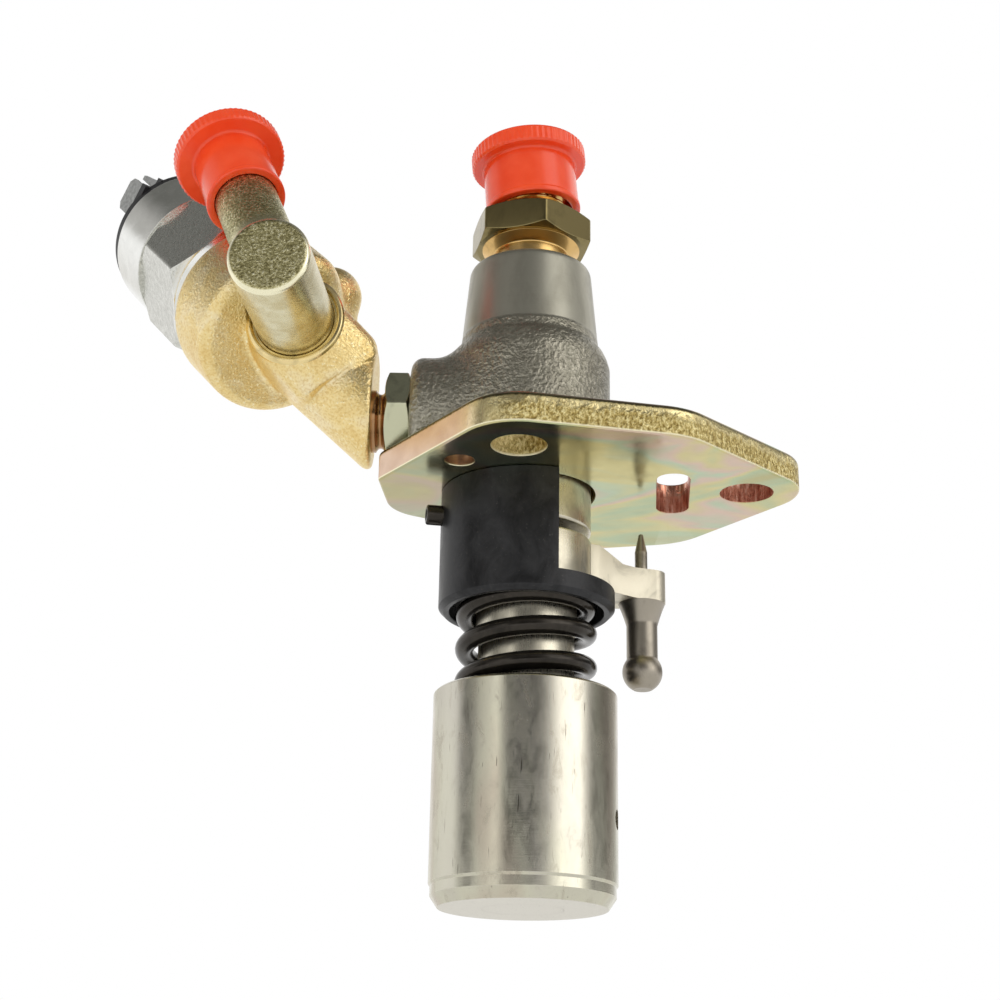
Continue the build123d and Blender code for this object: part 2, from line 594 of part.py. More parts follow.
def control_ball_pin():
    """Ball pin that the governor's fork moves: riveted shank, flare, waist and ball."""
    waist_low, waist_high = BALL_PIN_WAIST_Z
    neck_z = BALL_Z + (BALL_R ** 2 - BALL_PIN_WAIST_R ** 2) ** 0.5
    foot_r = (BALL_R ** 2 - (BALL_FOOT_Z - BALL_Z) ** 2) ** 0.5
    edges = Polyline((0, PIN_JOINT_Z), (BALL_PIN_SHANK_R, PIN_JOINT_Z), (BALL_PIN_SHANK_R, ARM_Z[0]),
                     (BALL_PIN_FLARE_R, ARM_Z[0]))
    edges += ThreePointArc((BALL_PIN_FLARE_R, ARM_Z[0]), BALL_PIN_FLARE_MIDDLE,
                           (BALL_PIN_WAIST_R, waist_high))
    edges += Line((BALL_PIN_WAIST_R, waist_high), (BALL_PIN_WAIST_R, neck_z))
    edges += ThreePointArc((BALL_PIN_WAIST_R, neck_z), (BALL_R, BALL_Z), (foot_r, BALL_FOOT_Z))
    edges += Polyline((foot_r, BALL_FOOT_Z), (0, BALL_FOOT_Z), (0, PIN_JOINT_Z))
    return at_arm_pin(revolve(Plane.XZ * make_face(edges), Axis.Z))


def control_pointer_pin():
    taper_z = POINTER_TIP_Z - POINTER_TAPER
    tip_r = POINTER_R / 4
    return at_arm_pin(turned((0, PIN_JOINT_Z), (POINTER_R, PIN_JOINT_Z), (POINTER_R, taper_z),
                             (tip_r, POINTER_TIP_Z), (0, POINTER_TIP_Z)))


# ---------------------------------------------------------------- plunger and tappet group
def plunger():
    """Plunger with its control groove, vane and foot."""
    vane_low, vane_high = VANE_Z
    foot_low, foot_high = FOOT_Z
    body = turned((0, foot_low), (FOOT_R, foot_low), (FOOT_R, foot_high), (PLUNGER_SHANK_R, foot_high),
                  (PLUNGER_SHANK_R, vane_high), (PLUNGER_R, vane_high), (PLUNGER_R, PLUNGER_TOP_Z),
                  (0, PLUNGER_TOP_Z))
    vane = Pos(0, 0, (vane_low + vane_high) / 2) * Box(VANE_WIDTH, VANE_THICKNESS, vane_high - vane_low)
    body += Rot(0, 0, VANE_TURN) * vane
    groove_low = PLUNGER_TOP_Z - HELIX_BAND[1]
    groove_high = PLUNGER_TOP_Z - HELIX_BAND[0]
    groove = tube(2 * PLUNGER_R, PLUNGER_R - HELIX_RELIEF, groove_low, groove_high)
    helix_side = Pos(0, 0, groove_high) * Rot(0, HELIX_TILT, 0) * Box(
        4 * PLUNGER_R, 4 * PLUNGER_R, groove_high - groove_low, align=(Align.CENTER, Align.CENTER, Align.MAX))
    body -= groove & helix_side
    return body - Pos(-PLUNGER_R, 0, (groove_low + PLUNGER_TOP_Z) / 2) * Box(
        2 * HELIX_RELIEF, SLOT_CUT_WIDTH, PLUNGER_TOP_Z - groove_low)


def plunger_spring():
    """Return spring with open coils between closed and ground ends."""
    low = LOWER_SEAT_Z + SPRING_WIRE / 2 - SPRING_GROUND
    high = UPPER_SEAT_Z - SPRING_WIRE / 2 + SPRING_GROUND
    open_low = low + SPRING_END_PITCH
    open_high = high - SPRING_TOP_RISE
    coils = (open_high - open_low) / SPRING_PITCH
    open_turn = SPRING_TOP_TURN - 360 * coils
    spring = helical_spring(SPRING_WIRE, SPRING_R, coils, open_low, open_high, open_turn)
    spring += helical_spring(SPRING_WIRE, SPRING_R, 1, low, open_low, open_turn)
    spring += helical_spring(SPRING_WIRE, SPRING_R, 1 / 2, open_high, high, SPRING_TOP_TURN)
    return spring & rod(2 * SPRING_R, LOWER_SEAT_Z + RUN, UPPER_SEAT_Z - RUN)


def lower_spring_seat():
    """Spring seat with a keyhole that takes the plunger's foot."""
    seat = rod(LOWER_SEAT_R, SHIM_TOP_Z, LOWER_SEAT_Z)
    recess_top = FOOT_Z[1] + RUN
    recess_r = FOOT_R + 2 * RUN
    shank_r = PLUNGER_SHANK_R + 2 * RUN
    recess = rod(recess_r, SHIM_TOP_Z, recess_top)
    recess += Pos(0, LOWER_SEAT_R, (SHIM_TOP_Z + recess_top) / 2) * Box(
        2 * recess_r, 2 * LOWER_SEAT_R, recess_top - SHIM_TOP_Z)
    keyhole = rod(shank_r, recess_top, LOWER_SEAT_Z)
    keyhole += Pos(0, LOWER_SEAT_R, (recess_top + LOWER_SEAT_Z) / 2) * Box(
        2 * shank_r, 2 * LOWER_SEAT_R, LOWER_SEAT_Z - recess_top)
    return seat - recess - keyhole


def tappet_shim():
    return rod(LOWER_SEAT_R, TAPPET_FLOOR_Z, SHIM_TOP_Z)


def tappet():
    """Bucket tappet: chamfered mouth, relieved band above a flat foot, one side hole."""
    band_r = TAPPET_R - TAPPET_BAND_RELIEF
    foot_r = band_r - TAPPET_CHAMFER * 0.9
    bucket = turned((0, TAPPET_FLOOR_Z), (TAPPET_BORE_R, TAPPET_FLOOR_Z),
                    (TAPPET_BORE_R, TAPPET_TOP_Z - TAPPET_MOUTH_CHAMFER),
                    (TAPPET_BORE_R + TAPPET_MOUTH_CHAMFER, TAPPET_TOP_Z),
                    (TAPPET_R - EDGE_BREAK, TAPPET_TOP_Z),
                    (TAPPET_R, TAPPET_TOP_Z - EDGE_BREAK), (TAPPET_R, TAPPET_BAND_Z),
                    (band_r, TAPPET_BAND_Z - TAPPET_BAND_RELIEF), (band_r, TAPPET_FOOT_Z + TAPPET_CHAMFER),
                    (foot_r, TAPPET_FOOT_Z), (0, TAPPET_FOOT_Z))
    hole = Plane((0, 0, TAPPET_HOLE_Z), z_dir=direction(TAPPET_HOLE_TURN))
    return bucket - hole * rod(TAPPET_HOLE_R, TAPPET_BORE_R - TAPPET_HOLE_R, 2 * TAPPET_R)


# ---------------------------------------------------------------- fuel inlet group
def inlet_stud():
    return INLET_FRAME * tube(STUD_R, STUD_BORE_R, *STUD_REACH)


def inlet_locknut():
    high = INLET_BOSS_REACH + LOCKNUT_THICKNESS
    nut = chamfered_nut(LOCKNUT_HEX, INLET_BOSS_REACH, high, LOCKNUT_TURN, HOLDER_HEX_CHAMFER)
    return INLET_FRAME * (nut - rod(STUD_R + FIT, INLET_BOSS_REACH, high))


def valve_casting():
    """Brass casting: the solenoid's bulb, the elbow's boss, the arm to the stud and a rear boss."""
    bulb = rod(BULB_R, -BULB_LENGTH, 0)
    bulb = fillet(bulb.edges().sort_by(Axis.Z)[0], BULB_ROUND)
    bulb = chamfer(bulb.edges().sort_by(Axis.Z)[-1], EDGE_BREAK)
    boss = ELBOW_FRAME * rod(ELBOW_BOSS_R, ELBOW_MOUTH_Y - ELBOW_BOSS_BACK_Y, 0)
    foot = INLET_FRAME.origin + INLET_FRAME.z_dir * CASTING_FACE + Vector(0, 0, CASTING_ARM_RISE)
    crown = Vector(ELBOW_X, foot.Y, ELBOW_Z - CASTING_CROWN_DROP)
    lean = (crown - foot).normalized()
    arm = rod(CASTING_ARM_R, -CASTING_ARM_R, (crown - foot).length)
    arm = fillet(arm.edges().sort_by(Axis.Z)[-1], CASTING_CROWN_ROUND)
    arm = Plane(foot, z_dir=lean) * arm
    hump = Pos(*HUMP_XY) * rod(HUMP_R, ELBOW_Z, HUMP_TOP_Z)
    hump = fillet(hump.edges().sort_by(Axis.Z)[-1], HUMP_ROUND)
    casting = SOLENOID_FRAME * bulb + boss + arm + hump
    casting -= INLET_FRAME * rod(3 * CASTING_ARM_R, 0, CASTING_FACE)
    casting -= SOLENOID_FRAME * rod(BULB_R + SEAL_THICKNESS, 0, CAN_LENGTH)
    casting -= ELBOW_FRAME * rod(ELBOW_RECESS_R, -ELBOW_RECESS_DEPTH, ELBOW_LENGTH)
    casting -= ELBOW_FRAME * rod(ELBOW_R + FIT, -ELBOW_DEPTH, 0)
    casting -= ELBOW_FRAME * rod(FUEL_BORE_R, -2 * ELBOW_DEPTH, 0)
    casting -= SOLENOID_FRAME * rod(SHANK_R + FIT, -SHANK_LENGTH - FIT, 0)
    casting -= SOLENOID_FRAME * rod(ARMATURE_R, ARMATURE_SPAN[0] - RUN, 0)
    casting -= INLET_FRAME * rod(STUD_R + FIT, CASTING_FACE, STUD_REACH[1] + FIT)
    chamber = SOLENOID_FRAME.origin + SOLENOID_AXIS * ARMATURE_SPAN[0]
    stud_end = INLET_FRAME.origin + INLET_FRAME.z_dir * STUD_REACH[1]
    passage = (chamber - stud_end)
    casting -= Plane(stud_end, z_dir=passage.normalized()) * rod(FUEL_BORE_R, 0, passage.length)
    return casting


def inlet_elbow():
    """Capped tube with a slanted hose stub."""
    body = rod(ELBOW_R, -ELBOW_DEPTH, ELBOW_LENGTH)
    body = chamfer(body.edges().sort_by(Axis.Z)[-1], ELBOW_END_CHAMFER)
    elbow = ELBOW_FRAME * body + STUB_FRAME * rod(STUB_R, 0, STUB_LENGTH)
    elbow -= ELBOW_FRAME * rod(ELBOW_R - ELBOW_WALL, -ELBOW_DEPTH, ELBOW_LENGTH - ELBOW_WALL)
    return elbow - STUB_FRAME * rod(STUB_BORE_R, 0, STUB_LENGTH)


# ---------------------------------------------------------------- solenoid group
def solenoid_body():
    """Can, hexagon, collar and threaded shank, hollow for the coil and the armature."""
    flat_low, flat_high = SOLENOID_HEX_SPAN
    corner_r = SOLENOID_HEX / 2 / cos(radians(30))
    flat_r = SOLENOID_HEX / 2
    envelope = turned((0, flat_low), (flat_r, flat_low), (corner_r, flat_low + HEX_COLLAR_CHAMFER),
                      (corner_r, flat_high - HEX_CAN_CHAMFER), (flat_r, flat_high), (0, flat_high))
    body = hexagon(SOLENOID_HEX, flat_low, flat_high, SOLENOID_HEX_TURN) & envelope
    body += turned((0, flat_high), (CAN_R, flat_high), (CAN_R, CAN_LENGTH - EDGE_BREAK),
                   (CAN_R - EDGE_BREAK, CAN_LENGTH), (0, CAN_LENGTH))
    body += turned((0, -SHANK_LENGTH), (SHANK_R, -SHANK_LENGTH), (SHANK_R, SEAL_THICKNESS),
                   (COLLAR_R, SEAL_THICKNESS), (COLLAR_R, flat_low), (0, flat_low))
    body -= rod(ARMATURE_R + RUN, -SHANK_LENGTH, COIL_FLOOR)
    return SOLENOID_FRAME * (body - rod(CAN_BORE_R, COIL_FLOOR, CAN_LENGTH))


def solenoid_seal():
    return SOLENOID_FRAME * tube(SEAL_R, SHANK_R + FIT, 0, SEAL_THICKNESS)


def solenoid_coil():
    """Coil on its bobbin: flanges at both ends of the winding."""
    low = COIL_FLOOR + COIL_SHELF
    high = CAN_LENGTH - END_CAP_PLUG - COIL_HEAD_GAP
    flange = 2 * EDGE_BREAK
    inner, outer = CORE_R + FIT, CAN_BORE_R - FIT
    return SOLENOID_FRAME * turned((inner, COIL_FLOOR), (outer, COIL_FLOOR), (outer, low + flange),
                                   (outer - flange, low + flange), (outer - flange, high - flange),
                                   (outer, high - flange), (outer, high), (inner, high))


def solenoid_core():
    """Pole piece with the recess that the armature's spring moves into."""
    well_r = ARMATURE_WELL[0]
    recess = CORE_FOOT + ARMATURE_TRAVEL + RUN
    top = CAN_LENGTH - END_CAP_PLUG
    return SOLENOID_FRAME * turned((well_r, CORE_FOOT), (CORE_R, CORE_FOOT), (CORE_R, top), (0, top),
                                   (0, recess), (well_r, recess))


def solenoid_armature():
    """Sliding armature with a sealing tip below and a spring well above."""
    low, high = ARMATURE_SPAN
    well_r, well_depth = ARMATURE_WELL
    shoulder = low + ARMATURE_TIP_LENGTH
    return SOLENOID_FRAME * turned((0, low), (ARMATURE_TIP_R, low), (ARMATURE_TIP_R, shoulder),
                                   (ARMATURE_R, shoulder), (ARMATURE_R, high), (well_r, high),
                                   (well_r, high - well_depth), (0, high - well_depth))


def armature_spring():
    well_r, well_depth = ARMATURE_WELL
    low = ARMATURE_SPAN[1] - well_depth + ARMATURE_WIRE / 2
    high = CORE_FOOT - ARMATURE_WIRE / 2
    radius = well_r - ARMATURE_WIRE
    return SOLENOID_FRAME * helical_spring(ARMATURE_WIRE, radius, ARMATURE_COILS, low, high)


def solenoid_end_cap():
    """Insulating disc plugged into the can, with the block that holds the blades."""
    top = CAN_LENGTH + END_CAP_THICKNESS
    cap = turned((0, CAN_LENGTH - END_CAP_PLUG), (CAN_BORE_R - FIT, CAN_LENGTH - END_CAP_PLUG),
                 (CAN_BORE_R - FIT, CAN_LENGTH), (END_CAP_R, CAN_LENGTH), (END_CAP_R, top - EDGE_BREAK),
                 (END_CAP_R - EDGE_BREAK, top), (0, top))
    block = rod(END_CAP_R - EDGE_BREAK, top, top + BLADE_BLOCK_HEIGHT)
    footings = Sketch()
    width, thickness, height = BLADE_SIZE
    for x, y, turn in BLADE_PLACES:
        footings += Pos(x, y) * Rot(0, 0, turn) * Rectangle(
            width + 2 * BLADE_BLOCK_MARGIN, thickness + 4 * BLADE_BLOCK_MARGIN)
    block &= Pos(0, 0, top) * extrude(footings, BLADE_BLOCK_HEIGHT)
    return SOLENOID_FRAME * (cap + block - blades(FIT))


def blades(clearance=0.0):
    """Two spade blades rising from the disc, as separate solids."""
    width, thickness, height = BLADE_SIZE
    outline = Pos(0, height / 2) * Rectangle(width + 2 * clearance, height)
    outline = chamfer(outline.vertices().group_by(Axis.Y)[-1], BLADE_CHAMFER)
    blade = extrude(Plane.XZ * outline, thickness / 2 + clearance, both=True)
    foot = CAN_LENGTH + END_CAP_THICKNESS
    return Compound(children=[Pos(x, y, foot) * Rot(0, 0, turn) * blade for x, y, turn in BLADE_PLACES])


def solenoid_terminals():
    return SOLENOID_FRAME * blades()


# ---------------------------------------------------------------- dust caps
def outlet_cap():
    floor = OUTLET_TOP_Z + OUTLET_THREAD_R * sin(radians(OUTLET_CAP_LEAN)) + RUN
    return OUTLET_CAP_FRAME * dust_cap(OUTLET_CAP_R, OUTLET_CAP_BORE_R, OUTLET_CAP_FLANGE_R,
                                       OUTLET_CAP_RIM_Z, floor, OUTLET_CAP_TOP_Z)


def inlet_cap():
    return STUB_FRAME * dust_cap(INLET_CAP_R, INLET_CAP_BORE_R, INLET_CAP_FLANGE_R,
                                 INLET_CAP_RIM, STUB_LENGTH + RUN, INLET_CAP_TOP)


PIECES = [
    pump_housing, mounting_plate, pump_barrel, barrel_pin, delivery_seat, delivery_valve, delivery_spring,
    holder_gasket, valve_holder, guide_sleeve, guide_roll_pin, upper_spring_seat, control_sleeve, control_arm,
    control_ball_pin, control_pointer_pin, plunger, plunger_spring, lower_spring_seat, tappet_shim, tappet,
    inlet_stud, inlet_locknut, valve_casting, inlet_elbow, solenoid_body, solenoid_seal, solenoid_coil,
    solenoid_core, solenoid_armature, armature_spring, solenoid_end_cap, solenoid_terminals, outlet_cap,
    inlet_cap,
]

os.makedirs("parts", exist_ok=True)
for piece in PIECES:
    export_step(piece(), f"parts/{piece.__name__}.step")
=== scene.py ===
import json
from math import acos, cos, pi, radians, sin, sqrt, tan

import bmesh
import bpy
import numpy as np
from mathutils import Matrix, Vector


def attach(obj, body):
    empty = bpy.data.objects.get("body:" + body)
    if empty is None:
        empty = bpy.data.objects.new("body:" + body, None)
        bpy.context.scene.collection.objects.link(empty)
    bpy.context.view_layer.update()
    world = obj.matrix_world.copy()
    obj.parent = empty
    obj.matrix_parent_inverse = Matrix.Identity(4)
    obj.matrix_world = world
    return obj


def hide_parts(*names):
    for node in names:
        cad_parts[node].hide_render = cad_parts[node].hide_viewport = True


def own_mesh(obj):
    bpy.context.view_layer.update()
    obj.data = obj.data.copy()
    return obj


# Looks of a diesel injection pump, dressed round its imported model.
# Sizes are in millimetres and turn into metres when a mesh is made.

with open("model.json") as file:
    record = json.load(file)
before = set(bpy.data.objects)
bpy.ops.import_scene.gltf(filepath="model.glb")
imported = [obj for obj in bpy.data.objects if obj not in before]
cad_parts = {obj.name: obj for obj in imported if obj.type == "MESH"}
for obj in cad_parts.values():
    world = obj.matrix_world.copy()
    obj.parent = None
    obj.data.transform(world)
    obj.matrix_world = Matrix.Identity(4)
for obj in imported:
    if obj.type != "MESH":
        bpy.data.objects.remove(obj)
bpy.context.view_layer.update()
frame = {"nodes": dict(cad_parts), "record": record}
MM = 0.001

# ---- sizes shared with the model
PLATE_THICKNESS = 5.0
PLATE_LOBES = ((0, -21, 9.4), (34.5, 0, 8.2), (18.4, -12.9, 12), (18.4, 12.9, 12),
               (9.4, 18.3, 8), (-15, 2.4, 8), (-21, -6.95, 2))
ROUND_HOLES = ((0, -21, 4.15), (34.5, 0, 4.15), (-9.4, -15.4, 2.25), (0, 0, 10.7))
SLOT = (22.95, 0, 5.1, 17.4, 2.4)            # x, y, width, length, corner radius
INLET_Z = 12.3
INLET_TURN = 185.0
INLET_BOSS_REACH = 19.0
CASTING_FACE = 24.6
BULB_R = 14.0
BULB_LENGTH = 14.5
CASTING_ARM_R = 7.9
ARM_RISE = 1.2
CROWN_DROP = 0.84
HUMP_R = 5.1
HUMP_XY = (-34.2, 4.0)
HUMP_TOP_Z = 43.2
RECESS_R = 7.0
LIP_R = 7.6
BAND_REACH = 11.2                            # turned band below the elbow, to its crest
BAND_TURN = 123.0
BAND_SLOPE = 0.62
BULB_SIDE = 6.0                              # where the bulb ends, beside the elbow's axis
ELBOW_AXIS_AT = (-36.7, 25.8)                # x, z
ELBOW_MOUTH_Y = -13.0
ELBOW_END_Y = -34.0
ELBOW_R = 6.3
STUB_SETBACK = 6.0
STUB_R = 5.0
STUB_LENGTH = 27.0
SOLENOID_SEAT = (-47.6, -0.64, 35.2)
STUB_DIRECTION = (135.4, 59.0)
SOLENOID_DIRECTION = (139.7, 42.5)
CAP_LEAN = 5.0
CAP_PIVOT_Z = 54.3
ARM_TURN = 22.5
ARM_PIN_X = 19.3
VANE_TURN = 10.0
SPRING_R = 9.5
SPRING_WIRE = 2.9
SPRING_PITCH = 5.4
SPRING_END_PITCH = 3.0
SPRING_TOP_RISE = 0.35
SPRING_GROUND = 0.4
SPRING_ENDS_Z = (-51.0, -17.4)
HOLDER_HEXAGON = 18.0                        # across flats
LOCKNUT_HEXAGON = 14.0
SOLENOID_HEXAGON = 24.4
OUTLET_THREAD = (5.9, 1.5)                   # radius, pitch
WINDOW_HALF_ANGLE = 66
SLEEVE_PIN = (-4.5, -165.0)                  # z, turn about the pump's axis
TERMINALS = ((2.8, -9.6, 0), (6.6, -5.6, 90))         # x, y, turn on the solenoid's end
TOWER = ((5.0, 13.1), (21.4, 13.1), (22.7, 12.75), (23.9, 12.2), (25.1, 11.3), (27.2, 11.07), (39.4, 9.97))


# ---- frames
def direction(azimuth, elevation=0.0):
    flat = cos(radians(elevation))
    return np.array([flat * cos(radians(azimuth)), flat * sin(radians(azimuth)), sin(radians(elevation))])


def placed(origin, z_axis, x_hint=(0, 0, 1)):
    """4x4 placement with its z axis along z_axis and its x axis as near x_hint as it can be."""
    z = np.asarray(z_axis, float) / np.linalg.norm(z_axis)
    x = np.asarray(x_hint, float) - z * np.dot(z, x_hint)
    x /= np.linalg.norm(x)
    place = np.eye(4)
    place[:3, 0], place[:3, 1], place[:3, 2], place[:3, 3] = x, np.cross(z, x), z, origin
    return place


def at(x, y=0.0, z=0.0):
    place = np.eye(4)
    place[:3, 3] = (x, y, z)
    return place


UP = (0, 0, 1)
PUMP = np.eye(4)
INLET = placed((0, 0, INLET_Z), direction(INLET_TURN))
ELBOW = placed((ELBOW_AXIS_AT[0], ELBOW_MOUTH_Y, ELBOW_AXIS_AT[1]), (0, -1, 0))
STUB = placed((ELBOW_AXIS_AT[0], ELBOW_END_Y + STUB_SETBACK, ELBOW_AXIS_AT[1]), direction(*STUB_DIRECTION))
SOLENOID = placed(SOLENOID_SEAT, direction(*SOLENOID_DIRECTION))
OUTLET_CAP = placed((0, 0, CAP_PIVOT_Z), (-sin(radians(CAP_LEAN)), 0, cos(radians(CAP_LEAN))), (1, 0, 0))
ARM = placed((0, 0, 0), (0, 0, 1), direction(ARM_TURN))


# ---- mesh building
def moved(points, place):
    return np.asarray(points, float) @ place[:3, :3].T + place[:3, 3]


def rounded(corners, steps=5):
    """Profile through (radius, height, rounding) corners, each turned into an arc."""
    flat = [np.array(corner[:2], float) for corner in corners]
    points = [flat[0]]
    for before, here, after, corner in zip(flat, flat[1:], flat[2:], corners[1:-1]):
        radius = corner[2] if len(corner) > 2 else 0
        if radius <= 0:
            points.append(here)
            continue
        back, ahead = before - here, after - here
        back_length, ahead_length = np.linalg.norm(back), np.linalg.norm(ahead)
        back, ahead = back / back_length, ahead / ahead_length
        half = acos(float(np.clip(back @ ahead, -1, 1))) / 2
        reach = min(radius / tan(half), 0.49 * back_length, 0.49 * ahead_length)
        centre = here + (back + ahead) / np.linalg.norm(back + ahead) * reach / cos(half)
        first, last = here + back * reach - centre, here + ahead * reach - centre
        sweep = pi - 2 * half
        for step in range(steps + 1):
            share = step / steps
            spoke = (sin((1 - share) * sweep) * first + sin(share * sweep) * last) / sin(sweep)
            points.append(centre + spoke)
    points.append(flat[-1])
    return np.array(points)


def skin(rings, looped=False, capped=False):
    """Quads between successive rings of equal length, with flat ends if capped."""
    count = len(rings[0])
    here = np.arange(count)
    ahead = (here + 1) % count
    faces = []
    for row in range(len(rings) if looped else len(rings) - 1):
        low, high = row * count, (row + 1) % len(rings) * count
        faces += np.stack([low + here, low + ahead, high + ahead, high + here], 1).tolist()
    if capped:
        faces.append(here[::-1].tolist())
        faces.append((here + (len(rings) - 1) * count).tolist())
    return np.concatenate(rings), faces


def circle(reach, z, count):
    """Ring of points about the z axis; reach and z are numbers, or one value for each point."""
    turn = np.arange(count) * 2 * pi / count
    return np.stack([reach * np.cos(turn), reach * np.sin(turn), z + 0 * turn], 1)


def lathe(corners, place=PUMP, count=144, steps=5, grip=None):
    """Turned shell from (radius, height, rounding) corners; it is solid if they start on the axis.

    grip is (low, high, least radius, relief over the turn) for a knurled band.
    """
    solid = corners[0][0] == 0
    profile = rounded(corners, steps)[1:-1] if solid else rounded([*corners, corners[0]], steps)[:-1]
    rings = []
    for radius, z in profile:
        if grip is not None and grip[0] < z < grip[1] and radius > grip[2]:
            radius = radius - grip[3](np.arange(count) * 2 * pi / count)
        rings.append(moved(circle(radius, z, count), place))
    return skin(rings, looped=not solid, capped=solid)


def rod(radius, low, high, place=PUMP, edge=0.2, count=96):
    return lathe([(0, low), (radius, low, edge), (radius, high, edge), (0, high)], place, count, 3)


def hexagon_reach(across_flats, turn, count, softness=0.12):
    """Distance to the side of a hexagon with slightly rounded corners, for even angles."""
    angle = np.arange(count) * 2 * pi / count
    flats = radians(turn + 30) + np.arange(6) * pi / 3
    toward = np.cos(angle[:, None] - flats)
    reach = np.where(toward > 0.3, across_flats / 2 / np.maximum(toward, 0.3), 1e3)
    return -softness * np.log(np.exp(-reach / softness).sum(1))


def nut(across_flats, inner_r, low, high, turn, drops, place, count=288):
    """Hexagon shell with turned-down corners; drops are the axial depths of the two chamfers."""
    reach = hexagon_reach(across_flats, turn, count)
    flat_r = across_flats / 2
    share = (reach - flat_r) / (flat_r / cos(radians(30)) - flat_r)
    low_drop, high_drop = (share * drop for drop in drops)
    start_r = np.minimum(flat_r - 0.05, reach)
    edge = 0.14
    levels = ((inner_r, low), (start_r - edge, low), (start_r, low + edge / 3),
              (reach - edge / 2, low + low_drop), (reach, low + low_drop + edge),
              (reach, high - high_drop - edge), (reach - edge / 2, high - high_drop),
              (start_r, high - edge / 3), (start_r - edge, high), (inner_r, high))
    return skin([moved(circle(*level, count), place) for level in levels], looped=True)


def joined(*shells):
    """One vertex list and face list from several closed shells."""
    points, faces, offset = [], [], 0
    for shell_points, shell_faces in shells:
        points.append(shell_points)
        faces += [[index + offset for index in face] for face in shell_faces]
        offset += len(shell_points)
    return np.concatenate(points), faces


def mesh_object(name, shell):
    """Object in metres from a shell in millimetres, with its faces turned outwards."""
    points, faces = shell
    mesh = bpy.data.meshes.new(name)
    mesh.from_pydata((np.asarray(points) * MM).tolist(), [], faces)
    build = bmesh.new()
    build.from_mesh(mesh)
    bmesh.ops.recalc_face_normals(build, faces=build.faces)
    build.to_mesh(mesh)
    build.free()
    made = bpy.data.objects.new(name, mesh)
    bpy.context.scene.collection.objects.link(made)
    return made


def dressed(made, node, slot, finish, body, sharp):
    """Finish and smooth shading; the object rides on its body and stands for a CAD node."""
    mesh = made.data
    mesh.materials.clear()
    mesh.materials.append(FINISH[finish or slot])
    mesh.shade_smooth()
    mesh.set_sharp_from_angle(angle=radians(sharp))
    made.modifiers.new("even_normals", "WEIGHTED_NORMAL").keep_sharp = True
    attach(made, body)
    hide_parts(node)
    return made


def piece(name, shell, node, slot, finish=None, body="pump_body", sharp=35):
    """Piece that stands for a CAD node; its finish is its slot's unless another is named."""
    return dressed(mesh_object(name, shell), node, slot, finish, body, sharp)


def boolean(target, tool, operation):
    """Applies a boolean of a scratch object to target, then deletes the scratch object."""
    cut = target.modifiers.new("cut", "BOOLEAN")
    cut.object, cut.operation, cut.solver = tool, operation, "EXACT"
    bpy.context.view_layer.update()
    evaluated = target.evaluated_get(bpy.context.evaluated_depsgraph_get())
    result = bpy.data.meshes.new_from_object(evaluated)
    target.modifiers.clear()
    target.data = result
    bpy.data.objects.remove(tool)


def carved(name, shell, cuts, node, slot, edge, finish=None, body="pump_body", sharp=35, keep=()):
    """Piece cut by scratch shells and limited to the shells in keep, with softened edges."""
    made = mesh_object("scratch", shell)
    for operation, tools in (("INTERSECT", keep), ("DIFFERENCE", cuts)):
        for tool in tools:
            boolean(made, mesh_object("scratch", tool), operation)
    made.name = made.data.name = name
    bevel = made.modifiers.new("edge", "BEVEL")
    bevel.width, bevel.segments, bevel.limit_method = edge * MM, 2, "ANGLE"
    bevel.angle_limit = radians(sharp)
    return dressed(made, node, slot, finish, body, sharp + 10)


def prism(outline, low, high, place=PUMP):
    """Straight-sided shell over a closed (x, y) outline."""
    outline = np.asarray(outline, float)
    rings = [moved(np.column_stack([outline, np.full(len(outline), float(z))]), place) for z in (low, high)]
    return skin(rings, capped=True)


# ---- smooth bodies from distance fields
def smooth_min(a, b, blend):
    share = np.clip(0.5 + 0.5 * (b - a) / blend, 0, 1)
    return b * (1 - share) + a * share - blend * share * (1 - share)


def smooth_max(a, b, blend):
    return -smooth_min(-a, -b, blend)


def cylinder_field(points, place, radius, low, high, edge):
    """Distance to a cylinder with rounded end edges."""
    local = (points - place[:3, 3]) @ place[:3, :3]
    around = np.hypot(local[..., 0], local[..., 1]) - radius + edge
    along = np.maximum(low - local[..., 2], local[..., 2] - high) + edge
    outside = np.hypot(np.maximum(around, 0), np.maximum(along, 0))
    return outside + np.minimum(np.maximum(around, along), 0) - edge


